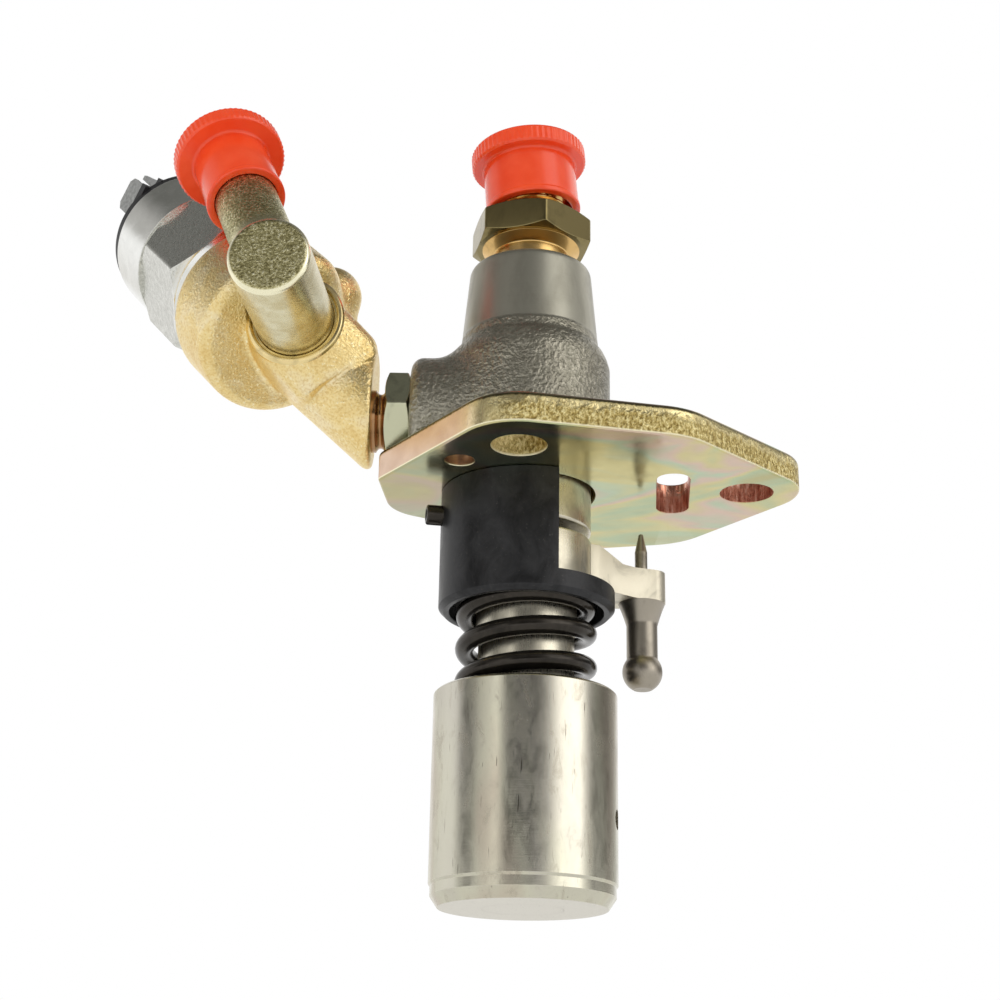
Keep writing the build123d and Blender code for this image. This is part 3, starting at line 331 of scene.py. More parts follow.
def net(field, low, high, step):
    """Quad mesh of a distance field's zero surface, with its points settled on that surface."""
    axes = [np.arange(a, b + step, step) for a, b in zip(low, high)]
    grid = np.stack(np.meshgrid(*axes, indexing="ij"), -1)
    value = field(grid)
    inside = value < 0
    shape = np.array(value.shape) - 1
    total = np.zeros((*shape, 3))
    hits = np.zeros(shape)
    corners = [np.array([i, j, k]) for i in (0, 1) for j in (0, 1) for k in (0, 1)]

    def block(array, corner):
        i, j, k = corner
        return array[i:i + shape[0], j:j + shape[1], k:k + shape[2]]

    for axis in range(3):
        for corner in (c for c in corners if c[axis] == 0):
            far = corner.copy()
            far[axis] = 1
            a, b = block(value, corner), block(value, far)
            crossing = (a < 0) != (b < 0)
            share = np.where(crossing, a / np.where(crossing, a - b, 1), 0)
            spot = np.broadcast_to(corner, (*shape, 3)).astype(float).copy()
            spot[..., axis] += share
            total += spot * crossing[..., None]
            hits += crossing
    used = hits > 0
    number = np.full(shape, -1)
    number[used] = np.arange(used.sum())
    cells = np.argwhere(used)
    points = (cells + total[used] / hits[used][:, None]) * step + np.array([axis[0] for axis in axes])
    faces = []
    for axis in range(3):
        one, two = (axis + 1) % 3, (axis + 2) % 3
        spots = np.argwhere(np.diff(inside.astype(np.int8), axis=axis))
        spots = spots[(spots[:, one] > 0) & (spots[:, two] > 0)]
        spots = spots[(spots[:, one] < shape[one]) & (spots[:, two] < shape[two])]
        quad = []
        for shift_one, shift_two in ((0, 0), (1, 0), (1, 1), (0, 1)):
            cell = spots.copy()
            cell[:, one] -= shift_one
            cell[:, two] -= shift_two
            quad.append(number[tuple(cell.T)])
        faces += np.stack(quad, 1).tolist()
    nudge = step * 0.02
    for _ in range(3):
        here = field(points)
        slope = np.stack([(field(points + nudge * unit) - here) / nudge for unit in np.eye(3)], 1)
        size = np.maximum((slope ** 2).sum(1), 0.2)
        points = points - np.clip(here / size, -step, step)[:, None] * slope
    return points, faces


# ---- finishes
def rgba(colour):
    return (colour, colour, colour, 1) if isinstance(colour, (int, float)) else (*colour, 1)


class Nodes:
    """Short calls for a node tree; a value is a socket, a number, a vector or a colour."""

    def __init__(self, tree):
        self.nodes, self.links = tree.nodes, tree.links
        self.nodes.clear()

    def feed(self, socket, value):
        if isinstance(value, bpy.types.NodeSocket):
            self.links.new(value, socket)
        else:
            socket.default_value = rgba(value) if socket.type == "RGBA" else value

    def new(self, kind, inputs=(), **settings):
        """Node with its settings, and its inputs as (socket, value) pairs."""
        node = self.nodes.new("ShaderNode" + kind)
        for name, value in settings.items():
            setattr(node, name, value)
        for socket, value in inputs:
            self.feed(node.inputs[socket], value)
        return node

    def vector(self, operation, first, second=None, factor=None):
        inputs = ((0, first), (1, second), ("Scale", factor))
        node = self.new("VectorMath", [pair for pair in inputs if pair[1] is not None], operation=operation)
        return node.outputs["Value" if operation in ("DOT_PRODUCT", "LENGTH") else "Vector"]

    def math(self, operation, first, second=0.0):
        return self.new("Math", ((0, first), (1, second)), operation=operation).outputs[0]

    def plus(self, first, second):
        return self.math("ADD", first, second)

    def times(self, first, second):
        return self.math("MULTIPLY", first, second)

    def larger(self, first, second):
        return self.math("MAXIMUM", first, second)

    def rest(self, share):
        return self.math("SUBTRACT", 1.0, share)

    def size(self, value):
        return self.math("ABSOLUTE", value)

    def step(self, value, low, high):
        """0 below low, 1 above high, smooth between."""
        inputs = (("Value", value), ("From Min", low), ("From Max", high))
        return self.new("MapRange", inputs, interpolation_type="SMOOTHSTEP").outputs["Result"]

    def ramp(self, value, *stops):
        """Colour ramp; each stop is (place, grey) or (place, (r, g, b))."""
        node = self.new("ValToRGB", [("Fac", value)])
        band = node.color_ramp
        while len(band.elements) < len(stops):
            band.elements.new(0.5)
        for element, (where, colour) in zip(band.elements, stops):
            element.position, element.color = where, rgba(colour)
        return node.outputs["Color"]

    def mix(self, share, first, second):
        return self.new("Mix", (("Factor", share), (6, first), (7, second)), data_type="RGBA").outputs[2]


class Finish(Nodes):
    """Node material that works in millimetres on object coordinates."""

    def __init__(self, name, metallic=0.0, roughness=0.5, **sockets):
        self.material = bpy.data.materials.new(name)
        self.material.use_nodes = True
        super().__init__(self.material.node_tree)
        self.shader = self.new("BsdfPrincipled", (("Metallic", metallic), ("Roughness", roughness)))
        for label, value in sockets.items():
            self.shader.inputs[label.replace("_", " ")].default_value = value
        self.new("OutputMaterial", [("Surface", self.shader.outputs["BSDF"])])
        coordinates = self.new("TexCoord").outputs["Object"]
        self.place = self.vector("SCALE", coordinates, factor=1 / MM)
        self.relief = None

    def along(self, axis, origin=(0, 0, 0)):
        """Distance in millimetres along an axis."""
        return self.vector("DOT_PRODUCT", self.vector("SUBTRACT", self.place, tuple(origin)), tuple(axis))

    def hollow(self, centre, reach):
        """1 within reach of an upright line through centre."""
        flat = self.vector("MULTIPLY", self.place, (1, 1, 0))
        away = self.vector("LENGTH", self.vector("SUBTRACT", flat, (*centre, 0)))
        return self.step(away, reach, reach - 0.3)

    def facing(self, axis):
        """Cosine between the surface's own normal and an axis."""
        return self.vector("DOT_PRODUCT", self.new("NewGeometry").outputs["Normal"], tuple(axis))

    def noise(self, size, detail=3, roughness=0.5, warp=0.0, seed=0.0, stretch=(1, 1, 1)):
        """Noise whose blobs are about size millimetres, larger along stretched axes."""
        squeezed = self.vector("MULTIPLY", self.place, tuple(1 / (size * s) for s in stretch))
        where = self.vector("ADD", squeezed, (seed, seed * 0.7, seed * 1.3))
        inputs = dict(Vector=where, Scale=1.0, Detail=detail, Roughness=roughness, Distortion=warp)
        return self.new("TexNoise", inputs.items()).outputs["Fac"]

    def bump(self, height, depth):
        """Adds relief whose full height is depth millimetres."""
        node = self.new("Bump", (("Strength", 1.0), ("Distance", depth * MM), ("Height", height)))
        if self.relief is not None:
            self.links.new(self.relief, node.inputs["Normal"])
        self.relief = node.outputs["Normal"]

    def done(self, colour, roughness=None):
        """The material, with its colour and roughness as sockets or plain values."""
        self.feed(self.shader.inputs["Base Color"], colour)
        if roughness is not None:
            self.feed(self.shader.inputs["Roughness"], roughness)
        if self.relief is not None:
            self.links.new(self.relief, self.shader.inputs["Normal"])
        return self.material


def zinc_plate_finish():
    """Yellow-zinc plating: drifting bands below, a sheared gold edge and copper-red bores."""
    f = Finish("zinc_plate", metallic=1.0)
    height, east = f.along(UP), f.along((1, 0, 0))
    drift = f.noise(30, 3, 0.5, 0.7, 3.1, stretch=(1.0, 0.6, 1))
    bands = f.ramp(drift, (0.32, (0.52, 0.48, 0.22)), (0.41, (0.48, 0.60, 0.38)), (0.48, (0.74, 0.65, 0.30)),
                   (0.54, (0.76, 0.55, 0.46)), (0.60, (0.52, 0.64, 0.46)), (0.68, (0.74, 0.65, 0.28)))
    cloud = f.noise(4.5, 4, 0.6, 0.4, 7.7)
    face = f.mix(f.times(cloud, 0.4), bands, (0.42, 0.40, 0.24))
    # The faces turn darker towards -X.
    face = f.mix(f.times(f.step(east, 4.0, -12.0), 0.5), face, (0.34, 0.30, 0.18))
    side = f.rest(f.step(f.size(f.facing(UP)), 0.3, 0.75))

    streaks = f.noise(0.42, 3, 0.7, 0, 1.3, stretch=(1, 1, 1.5))
    ragged = f.plus(height, f.times(f.noise(1.6, 3, 0.6, 0, 6.0), 3.0))
    torn = f.times(f.step(ragged, 5.4, 4.0), f.step(east, -6.0, 1.0))
    smooth_gold = f.ramp(streaks, (0.30, (0.66, 0.53, 0.24)), (0.60, (0.94, 0.82, 0.46)))
    torn_gold = f.ramp(streaks, (0.36, (0.30, 0.21, 0.06)), (0.50, (0.62, 0.48, 0.18)),
                       (0.64, (0.98, 0.86, 0.46)))
    gold = f.mix(torn, smooth_gold, torn_gold)
    pink = f.ramp(cloud, (0.3, (0.72, 0.51, 0.38)), (0.7, (0.84, 0.64, 0.50)))
    gold = f.mix(f.step(east, -4.0, -10.0), gold, pink)
    # Painted shade: a dark band along the top of the plate's edge, all round.
    gold = f.mix(f.step(f.plus(height, f.times(streaks, 0.8)), 4.3, 4.7), gold, (0.12, 0.10, 0.04))
    # Painted highlight: a pale bright line along the bottom of the plate's edge.
    gold = f.mix(f.step(height, 0.5, 0.25), gold, (0.95, 0.88, 0.62))

    bores = f.hollow(ROUND_HOLES[1][:2], 5.2)
    slot_side = f.step(f.size(f.along((1, 0, 0), (SLOT[0], 0, 0))), 3.4, 3.1)
    slot_end = f.step(f.size(f.along((0, 1, 0))), 9.8, 9.4)
    bores = f.larger(bores, f.times(slot_side, slot_end))
    scored = f.noise(0.5, 3, 0.6, 0, 9.0, stretch=(1, 1, 6))
    copper = f.ramp(scored, (0.35, (0.40, 0.13, 0.08)), (0.55, (0.70, 0.33, 0.23)),
                    (0.72, (0.92, 0.66, 0.54)))
    gold = f.mix(bores, gold, copper)
    colour = f.mix(side, face, gold)

    raised = f.larger(torn, f.hollow(ROUND_HOLES[0][:2], 5.0))
    f.bump(f.times(f.times(streaks, side), raised), 0.30)
    f.bump(f.noise(0.9, 4, 0.6, stretch=(3, 1, 1)), 0.012)
    rough = f.mix(side, f.ramp(cloud, (0.3, 0.13), (0.7, 0.26)), f.mix(raised, 0.26, 0.4))
    return f.done(colour, rough)


def elbow_finish():
    """Passivated tube: satin along its side, coarse bright crystals on its end and on the stub."""
    f = Finish("gold_elbow", metallic=1.0)
    sparkle = f.noise(0.40, 3, 0.7, 0, 2.0)
    fine = f.noise(0.3, 2, 0.6, 0, 6.0)
    cloud = f.noise(3.0, 3, 0.5, 0.6, 5.0)
    end = f.step(f.along((0, -1, 0)), -ELBOW_END_Y - 0.16, -ELBOW_END_Y - 0.04)
    stub = f.step(f.along(STUB[:3, 2], STUB[:3, 3]), 6.5, 9.5)
    coarse = f.larger(end, stub)
    base = f.ramp(cloud, (0.35, (0.62, 0.54, 0.32)), (0.55, (0.72, 0.66, 0.44)), (0.7, (0.78, 0.73, 0.52)))
    crystals = f.ramp(sparkle, (0.36, (0.22, 0.19, 0.08)), (0.50, (0.50, 0.45, 0.22)),
                      (0.58, (0.72, 0.66, 0.38)), (0.66, (1.0, 0.95, 0.68)))
    f.bump(f.times(sparkle, coarse), 0.16)
    f.bump(fine, 0.012)
    # Painted highlight: a bright ring on the end's chamfer.
    rim = f.step(f.along((0, -1, 0)), -ELBOW_END_Y - 1.3, -ELBOW_END_Y - 0.8)
    base = f.mix(rim, base, (0.98, 0.93, 0.68))
    rough = f.mix(coarse, f.ramp(fine, (0.35, 0.32), (0.7, 0.22)), f.ramp(sparkle, (0.35, 0.36), (0.7, 0.22)))
    return f.done(f.mix(coarse, base, crystals), rough)


def metal_finish(name, tint, scratch_axis, rough):
    """Turned or ground metal with fine lines along one axis and a few darker stains."""
    f = Finish(name, metallic=1.0)
    stretch = [0.25, 0.25, 0.25]
    stretch[scratch_axis] = 9
    lines = f.noise(0.5, 4, 0.65, stretch=stretch)
    stain = f.noise(5.0, 4, 0.6, 0.8, 9.0, stretch=(1, 1, 1.4))
    dark = tuple(0.62 * channel for channel in tint)
    colour = f.mix(f.step(stain, 0.5, 0.72), tint, dark)
    colour = f.mix(f.times(lines, 0.35), colour, tuple(0.8 * channel for channel in tint))
    f.bump(lines, 0.006)
    return f.done(colour, f.ramp(f.plus(f.times(lines, 0.5), f.times(stain, 0.5)),
                                 (0.3, rough[0]), (0.7, rough[1])))


def tappet_finish():
    """Ground steel with handling marks, olive and brown stains, and a few scratches; its soft lengthwise
    colour bands are partly stains and partly painted reflection.
    """
    f = Finish("ground_steel", metallic=1.0)
    ring = f.noise(0.3, 3, 0.6, stretch=(14, 14, 0.35))
    blotch = f.noise(2.2, 5, 0.65, 0.5, 4.0, stretch=(1, 1, 2.2))
    # Painted reflection in part: soft colour bands along the length, mixed with real stains.
    drift = f.noise(9.0, 2, 0.5, 0.3, 12.0, stretch=(1, 1, 4.0))
    tint = f.ramp(drift, (0.35, (0.60, 0.57, 0.49)), (0.5, (0.64, 0.62, 0.50)), (0.62, (0.58, 0.52, 0.42)))
    colour = f.mix(f.times(f.step(blotch, 0.52, 0.72), 0.7), tint, (0.44, 0.40, 0.32))
    foot = f.step(f.size(f.facing(UP)), 0.8, 0.95)
    colour = f.mix(foot, colour, (0.74, 0.71, 0.64))
    mark = f.noise(1.2, 1, 0.3, 0.6, 21.0, stretch=(0.16, 0.16, 2.6))
    colour = f.mix(f.times(f.step(mark, 0.745, 0.77), 0.7), colour, (0.12, 0.10, 0.08))
    f.bump(ring, 0.004)
    return f.done(colour, f.mix(foot, f.ramp(blotch, (0.35, 0.16), (0.7, 0.30)), 0.45))


def black_oxide_finish(name, shade, shine, tone):
    """Black-oxide steel: near black satin with faint dust and rubbed streaks."""
    f = Finish(name, metallic=0.75)
    cloud = f.noise(3.5, 5, 0.65, 0.5, 2.0, stretch=(1, 1, 1.5))
    dust = f.noise(0.5, 3, 0.7, 0, 6.0)
    light, pale = (tuple(shade * share * channel for channel in tone) for share in (1.0, 2.3))
    colour = f.ramp(cloud, (0.35, light), (0.7, pale))
    colour = f.mix(f.times(f.step(dust, 0.62, 0.78), 0.25), colour, (0.25, 0.24, 0.22))
    f.bump(dust, 0.01)
    return f.done(colour, f.ramp(cloud, (0.3, shine[0]), (0.7, shine[1])))


def housing_finish():
    """Dark cast steel with a machined tower: turning lines above, sand texture below."""
    f = Finish("cast_steel", metallic=0.9)
    height = f.along(UP)
    tower = f.step(height, 26.2, 26.9)
    sand = f.noise(0.62, 2, 0.5, 0.0, 1.0)
    coarse = f.noise(3.4, 3, 0.5, 0.4, 8.0)
    cast = f.ramp(sand, (0.34, (0.27, 0.255, 0.20)), (0.50, (0.34, 0.32, 0.26)), (0.66, (0.46, 0.43, 0.35)))
    cast = f.mix(f.step(coarse, 0.40, 0.75), cast, (0.27, 0.25, 0.20))
    lines = f.noise(0.35, 3, 0.6, stretch=(20, 20, 0.5))
    stain = f.noise(4.0, 4, 0.6, 0.4, 14.0, stretch=(1, 1, 2.5))
    turned = f.mix(f.step(stain, 0.4, 0.7), (0.40, 0.385, 0.32), (0.32, 0.305, 0.25))
    turned = f.mix(f.times(lines, 0.3), turned, (0.48, 0.46, 0.39))
    f.bump(f.times(sand, f.rest(tower)), 0.30)
    f.bump(f.times(lines, tower), 0.008)
    rough = f.mix(tower, f.ramp(sand, (0.3, 0.38), (0.7, 0.28)), f.ramp(stain, (0.3, 0.30), (0.7, 0.40)))
    return f.done(f.mix(tower, cast, turned), rough)


def casting_finish():
    """Sand-cast brass: warm gold with a fine blasted sparkle and paler patches at random."""
    f = Finish("cast_brass", metallic=1.0)
    grain = f.noise(0.42, 2, 0.55, 0.0, 4.0)
    cloud = f.noise(5.5, 4, 0.55, 0.7, 11.0)
    base = f.ramp(cloud, (0.3, (0.86, 0.64, 0.27)), (0.5, (0.93, 0.74, 0.36)), (0.7, (0.96, 0.82, 0.52)))
    colour = f.mix(f.step(grain, 0.34, 0.54), f.mix(0.35, base, (0.62, 0.38, 0.10)), base)
    colour = f.mix(f.step(grain, 0.60, 0.74), colour, (1.0, 0.90, 0.60))
    f.bump(grain, 0.17)
    f.bump(f.noise(1.8, 3, 0.5, 0, 17.0), 0.10)
    return f.done(colour, f.ramp(grain, (0.3, 0.44), (0.7, 0.26)))


def nickel_finish():
    """Bright nickel can with fine scuffs; its milled flats are duller and darker."""
    f = Finish("nickel", metallic=1.0)
    axis = direction(*SOLENOID_DIRECTION)
    along = f.along(axis, SOLENOID_SEAT)
    flats = f.times(f.step(along, 2.0, 2.4), f.rest(f.step(along, 16.2, 16.6)))
    scuff = f.noise(0.45, 4, 0.7, 0.3, 3.0, stretch=(1, 1, 3))
    haze = f.noise(3.0, 4, 0.6, 0.6, 8.0)
    can = f.ramp(haze, (0.35, (0.82, 0.82, 0.79)), (0.65, (0.90, 0.90, 0.87)))
    flat = f.ramp(scuff, (0.35, (0.58, 0.58, 0.54)), (0.52, (0.72, 0.72, 0.68)), (0.72, (0.86, 0.86, 0.82)))
    f.bump(f.times(scuff, flats), 0.05)
    f.bump(f.noise(0.3, 2, 0.6), 0.006)
    rough = f.mix(flats, f.ramp(haze, (0.3, 0.14), (0.7, 0.24)), f.ramp(scuff, (0.3, 0.30), (0.7, 0.18)))
    return f.done(f.mix(flats, can, flat), rough)


def red_plastic_finish():
    """Soft glossy dust-cap plastic with faint mould marks."""
    f = Finish("red_plastic", roughness=0.25, Subsurface_Weight=0.12, Subsurface_Scale=0.0015,
               Coat_Weight=0.2, Coat_Roughness=0.1)
    f.shader.inputs["Subsurface Radius"].default_value = (1.0, 0.25, 0.1)
    cloud = f.noise(3.0, 3, 0.5, 0.3, 5.0)
    colour = f.ramp(cloud, (0.3, (0.90, 0.066, 0.012)), (0.7, (0.94, 0.086, 0.020)))
    f.bump(f.noise(0.8, 3, stretch=(1, 1, 2)), 0.01)
    return f.done(colour, f.ramp(cloud, (0.3, 0.15), (0.7, 0.22)))


def grained_finish(name, shade, metallic, rough):
    """Small part in one material with a fine grain, such as moulded plastic, rubber or tin."""
    f = Finish(name, metallic=metallic)
    grain = f.noise(0.6, 4, 0.6)
    light = tuple(min(1.0, 1.8 * channel) for channel in shade)
    f.bump(grain, 0.012)
    colour = f.ramp(grain, (0.35, shade), (0.75, light))
    return f.done(colour, f.ramp(grain, (0.3, rough), (0.7, rough + 0.12)))


FINISH = {
    "zinc_plate": zinc_plate_finish(),
    "gold_zinc": elbow_finish(),
    "ground_steel": tappet_finish(),
    "black_oxide": black_oxide_finish("black_oxide", 0.022, (0.30, 0.48), (0.95, 0.95, 1.0)),
    "spring_steel": black_oxide_finish("spring_steel", 0.024, (0.12, 0.22), (1.0, 0.86, 0.70)),
    "cast_steel": housing_finish(),
    "cast_brass": casting_finish(),
    "nickel": nickel_finish(),
    "red_plastic": red_plastic_finish(),
}
for name, *look in (("bright_steel", (0.63, 0.59, 0.48), 2, (0.22, 0.36)),
                    ("arm_steel", (0.70, 0.65, 0.53), 0, (0.32, 0.48)),
                    ("dark_steel", (0.40, 0.36, 0.30), 2, (0.28, 0.42)),
                    ("holder_neck", (0.80, 0.52, 0.20), 2, (0.14, 0.26)),
                    # The hexagon's gold zinc is tinted dark as painted shade on its facets.
                    ("holder_hexagon", (0.28, 0.225, 0.10), 2, (0.12, 0.20)),
                    ("locknut", (0.62, 0.62, 0.44), 0, (0.12, 0.22)),
                    ("stud", (0.42, 0.24, 0.12), 2, (0.10, 0.18)),
                    ("lip_brass", (0.95, 0.76, 0.38), 1, (0.16, 0.26))):
    FINISH[name] = metal_finish(name, *look)
for name, *look in (("black_plastic", (0.012, 0.012, 0.013), 0.0, 0.42),
                    # seal_rubber: a real seal, dark red as painted reflection of the red cap.
                    ("seal_rubber", (0.20, 0.012, 0.012), 0.0, 0.45),
                    ("tin_blade", (0.34, 0.345, 0.34), 1.0, 0.30),
                    ("copper", (0.55, 0.26, 0.12), 1.0, 0.34),
                    ("coil_copper", (0.40, 0.14, 0.05), 1.0, 0.34)):
    FINISH[name] = grained_finish(name, *look)


def dress_kept_nodes():
    """Every CAD node gets its slot's finish; the barrel is black where the window shows it."""
    slots = {entry["node"]: entry["material_slot"] for entry in frame["record"]["subparts"]}
    slots["pump_barrel"] = "black_oxide"
    for name, node in frame["nodes"].items():
        node.data.materials.clear()
        node.data.materials.append(FINISH[slots[name]])


# ---- mounting plate
def hull_outline(spacing=0.6):
    """Taut line round the plate's lobes: evenly spaced points and their outward normals."""
    angles = np.linspace(0, 2 * pi, 1440, endpoint=False)
    normals = np.stack([np.cos(angles), np.sin(angles)], 1)
    centres = np.array([lobe[:2] for lobe in PLATE_LOBES], float)
    radii = np.array([lobe[2] for lobe in PLATE_LOBES], float)
    leader = (normals @ centres.T + radii).argmax(1)
    touch = centres[leader] + radii[leader][:, None] * normals
    run = np.roll(touch, -1, axis=0) - touch
    parts = np.maximum(1, np.round(np.linalg.norm(run, axis=1) / spacing)).astype(int)
    share = np.concatenate([np.arange(count) / count for count in parts])[:, None]
    return np.repeat(touch, parts, 0) + np.repeat(run, parts, 0) * share, np.repeat(normals, parts, 0)


def slot_outline(width, length, corner, steps=8):
    points = []
    for turn, side_x, side_y in ((0, 1, 1), (90, -1, 1), (180, -1, -1), (270, 1, -1)):
        for step in range(steps + 1):
            angle = radians(turn + 90 * step / steps)
            points.append((side_x * (width / 2 - corner) + corner * cos(angle),
                           side_y * (length / 2 - corner) + corner * sin(angle)))
    return np.array(points)


def mounting_plate():
    """Rolled outline and softened holes, with the two faces filled between them."""
    outline, sides = hull_outline()
    top, roll, break_edge, lip = PLATE_THICKNESS, 1.0, 0.4, 0.25
    build = bmesh.new()
    bottom_edges, top_edges = [], []

    def wall(levels):
        """Side faces through (points, z) levels, the lowest first."""
        loops, rims = [], []
        for points, z in levels:
            loop = [build.verts.new((x * MM, y * MM, z * MM)) for x, y in points]
            rims.append([build.edges.new(pair) for pair in zip(loop, loop[1:] + loop[:1])])
            loops.append(loop)
        for low, high in zip(loops, loops[1:]):
            for here, ahead in zip(range(len(low)), [*range(1, len(low)), 0]):
                build.faces.new((low[here], low[ahead], high[ahead], high[here]))
        bottom_edges.extend(rims[0])
        top_edges.extend(rims[-1])

    turns = [radians(90 * step / 6) for step in range(7)]
    rings = [(break_edge * (1 - sin(turn)), break_edge * (1 - cos(turn))) for turn in turns]
    turns = [radians(90 * step / 8) for step in range(9)]
    rings += [(roll * (1 - cos(turn)), top - roll * (1 - sin(turn))) for turn in turns]
    wall([(outline - inset * sides, z) for inset, z in rings])
    holes = [(hole[:2], circle(hole[2], 0, 72)[:, :2]) for hole in ROUND_HOLES]
    holes.append((SLOT[:2], slot_outline(*SLOT[2:])))
    for centre, hole in holes:
        wide = lip / np.linalg.norm(hole, axis=1).min()
        levels = ((wide, 0), (wide * 0.3, lip * 0.3), (0, lip), (0, top - lip), (wide * 0.3, top - lip * 0.3),
                  (wide, top))
        wall([(centre + hole * (1 + grow), z) for grow, z in levels])
    bmesh.ops.triangle_fill(build, edges=bottom_edges, use_beauty=True)
    bmesh.ops.triangle_fill(build, edges=top_edges, use_beauty=True)
    build.verts.index_update()
    points = np.array([vertex.co for vertex in build.verts]) / MM
    faces = [[vertex.index for vertex in face.verts] for face in build.faces]
    build.free()
    piece("plate", (points, faces), "mounting_plate", "zinc_plate")


# ---- housing
def housing_field(points):
    """Base, shoulder and tower with the inlet boss grown out of the base."""
    around = np.hypot(points[..., 0], points[..., 1])
    z = points[..., 2]
    heights, radii = zip(*TOWER)
    body = smooth_max((around - np.interp(z, heights, radii)) * 0.97, z - TOWER[-1][0], 1.2)
    boss = cylinder_field(points, INLET, 10.4, -4.0, INLET_BOSS_REACH, 2.0)
    solid = smooth_min(body, boss, 3.2)
    solid = smooth_max(solid, PLATE_THICKNESS - z, 0.5)
    bore = np.where(z > 27, 6.25, 6.0)
    solid = np.maximum(solid, bore - around)
    stud = cylinder_field(points, INLET, 5.1, 8.0, INLET_BOSS_REACH + 5, 0.01)
    return np.maximum(solid, -stud)


def pump_housing():
    step = 0.4
    casting = net(housing_field, (-21, -15, 3.5), (15, 15, 41), step)
    nose = lathe([(5.3, -6.7), (10.0, -6.7, 0.5), (10.0, 2.5), (10.65, 2.5, 0.2), (10.65, 5.0), (5.3, 5.0)])
    piece("housing_casting", casting, "pump_housing", "cast_steel", sharp=60)
    piece("housing_nose", nose, "pump_housing", "bright_steel")


# ---- valve holder
def thread(radius, pitch, low, high, inner_r=1.2, count=96):
    """External thread as a helical ridge on a tube, closed at both ends."""
    rows = int((high - low) / pitch * 10)
    turn = np.arange(count) / count
    rings = [circle(inner_r, low, count)]
    for z in low + (high - low) * np.arange(rows + 1) / rows:
        phase = (z / pitch - turn) % 1.0
        crest = np.clip(abs(phase - 0.5) * 2.4 - 0.2, 0, 1)
        fade = min(1.0, (z - low) / pitch, (high - z) / pitch)
        rings.append(circle(radius - 0.6 * pitch * (crest * fade + (1 - fade) * 0.9), z, count))
    rings.append(circle(inner_r, high, count))
    return skin(rings, looped=True)


def valve_holder():
    neck = lathe([(4.2, 28.0), (6.2, 28.0), (6.2, 42.6, 0.3), (8.15, 43.7, 0.15), (8.15, 43.9), (4.2, 43.9)])
    shoulder = lathe([(4.2, 48.7), (7.2, 48.7), (7.2, 49.6, 0.4), (5.6, 50.4, 0.3), (4.2, 50.4)])
    screw = thread(*OUTLET_THREAD, 48.7, 57.5)
    hexagon = nut(HOLDER_HEXAGON, 4.2, 43.7, 48.8, -13.0, (0.62, 0.62), PUMP)
    piece("holder_neck", joined(neck, shoulder, screw), "valve_holder", "gold_zinc", "holder_neck")
    # The hexagon's finish is tinted dark as painted shade.
    piece("holder_hexagon", hexagon, "valve_holder", "gold_zinc", "holder_hexagon")


# ---- guide sleeve and its pieces
def guide_sleeve():
    sleeve = lathe([(10.05, 0), (13.7, 0, 0.25), (13.7, -18.9, 0.2), (12.9, -19.7, 0.15), (12.0, -19.7, 0.25),
                    (12.0, -17.0), (8.3, -17.0, 0.2), (8.3, -16.2, 0.2), (10.6, -16.2), (10.6, -7.0),
                    (10.05, -7.0)], count=192, steps=3)
    across = placed((0, 0, SLEEVE_PIN[0]), direction(SLEEVE_PIN[1]))
    x, y = 40 * cos(radians(WINDOW_HALF_ANGLE)), 40 * sin(radians(WINDOW_HALF_ANGLE))
    window = prism([(0, 0), (x, -y), (40, -y), (40, y), (x, y)], -16.2, 2)
    cuts = [window, rod(1.65, 8.5, 18, across, 0.01)]
    carved("guide_sleeve_body", sleeve, cuts, "guide_sleeve", "black_oxide", 0.18)
    seat = lathe([(8.3, -17.0), (11.95, -17.0), (11.95, -17.4, 0.1), (8.3, -17.4, 0.1)])
    piece("spring_seat_ring", seat, "upper_spring_seat", "black_oxide", "spring_steel")
    pin = lathe([(0.9, 8.6), (1.6, 8.6, 0.2), (1.6, 16.2, 0.35), (0.9, 16.2, 0.15)], across, 48)
    slit = prism([(-4, -0.25), (0, -0.25), (0, 0.25), (-4, 0.25)], 8, 17, across)
    carved("roll_pin", pin, [slit], "guide_roll_pin", "spring_steel", 0.06)


# ---- springs
def plunger_spring():
    """Wire swept along a helix whose end turns close up and are ground flat."""
    low = SPRING_ENDS_Z[0] + SPRING_WIRE / 2 - SPRING_GROUND
    high = SPRING_ENDS_Z[1] - SPRING_WIRE / 2 + SPRING_GROUND
    open_low, open_high = low + SPRING_END_PITCH, high - SPRING_TOP_RISE
    coils = (open_high - open_low) / SPRING_PITCH
    turns = np.linspace(-1, coils + 0.5, 420)
    z = np.interp(turns, (-1, 0, coils, coils + 0.5), (low, open_low, open_high, high))
    z = np.convolve(np.pad(z, 6, mode="reflect", reflect_type="odd"), np.ones(13) / 13, "valid")
    angle = (turns - coils) * 2 * pi - pi / 2
    spine = np.stack([SPRING_R * np.cos(angle), SPRING_R * np.sin(angle), z], 1)
    ahead = np.gradient(spine, axis=0)
    ahead /= np.linalg.norm(ahead, axis=1)[:, None]
    outward = np.stack([np.cos(angle), np.sin(angle), np.zeros_like(angle)], 1)
    lift = np.cross(ahead, outward)
    rings = []
    for centre, out, up in zip(spine, outward, lift):
        around = np.arange(24) * 2 * pi / 24
        ring = centre + SPRING_WIRE / 2 * (np.cos(around)[:, None] * out + np.sin(around)[:, None] * up)
        ring[:, 2] = np.clip(ring[:, 2], SPRING_ENDS_Z[0] + 0.03, SPRING_ENDS_Z[1] - 0.03)
        rings.append(ring)
    spring = piece("return_spring", skin(rings, capped=True), "plunger_spring", "spring_steel")
    shorten(spring)


def delivery_spring():
    """The hidden spring's own mesh, made into a piece."""
    mesh = frame["nodes"]["delivery_spring"].data
    points = [vertex.co / MM for vertex in mesh.vertices]
    faces = [tuple(face.vertices) for face in mesh.polygons]
    spring = piece("delivery_valve_spring", (points, faces), "delivery_spring", "spring_steel")
    shorten(spring)


def shorten(spring):
    """Gives the spring its own copy of its mesh."""
    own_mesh(spring)


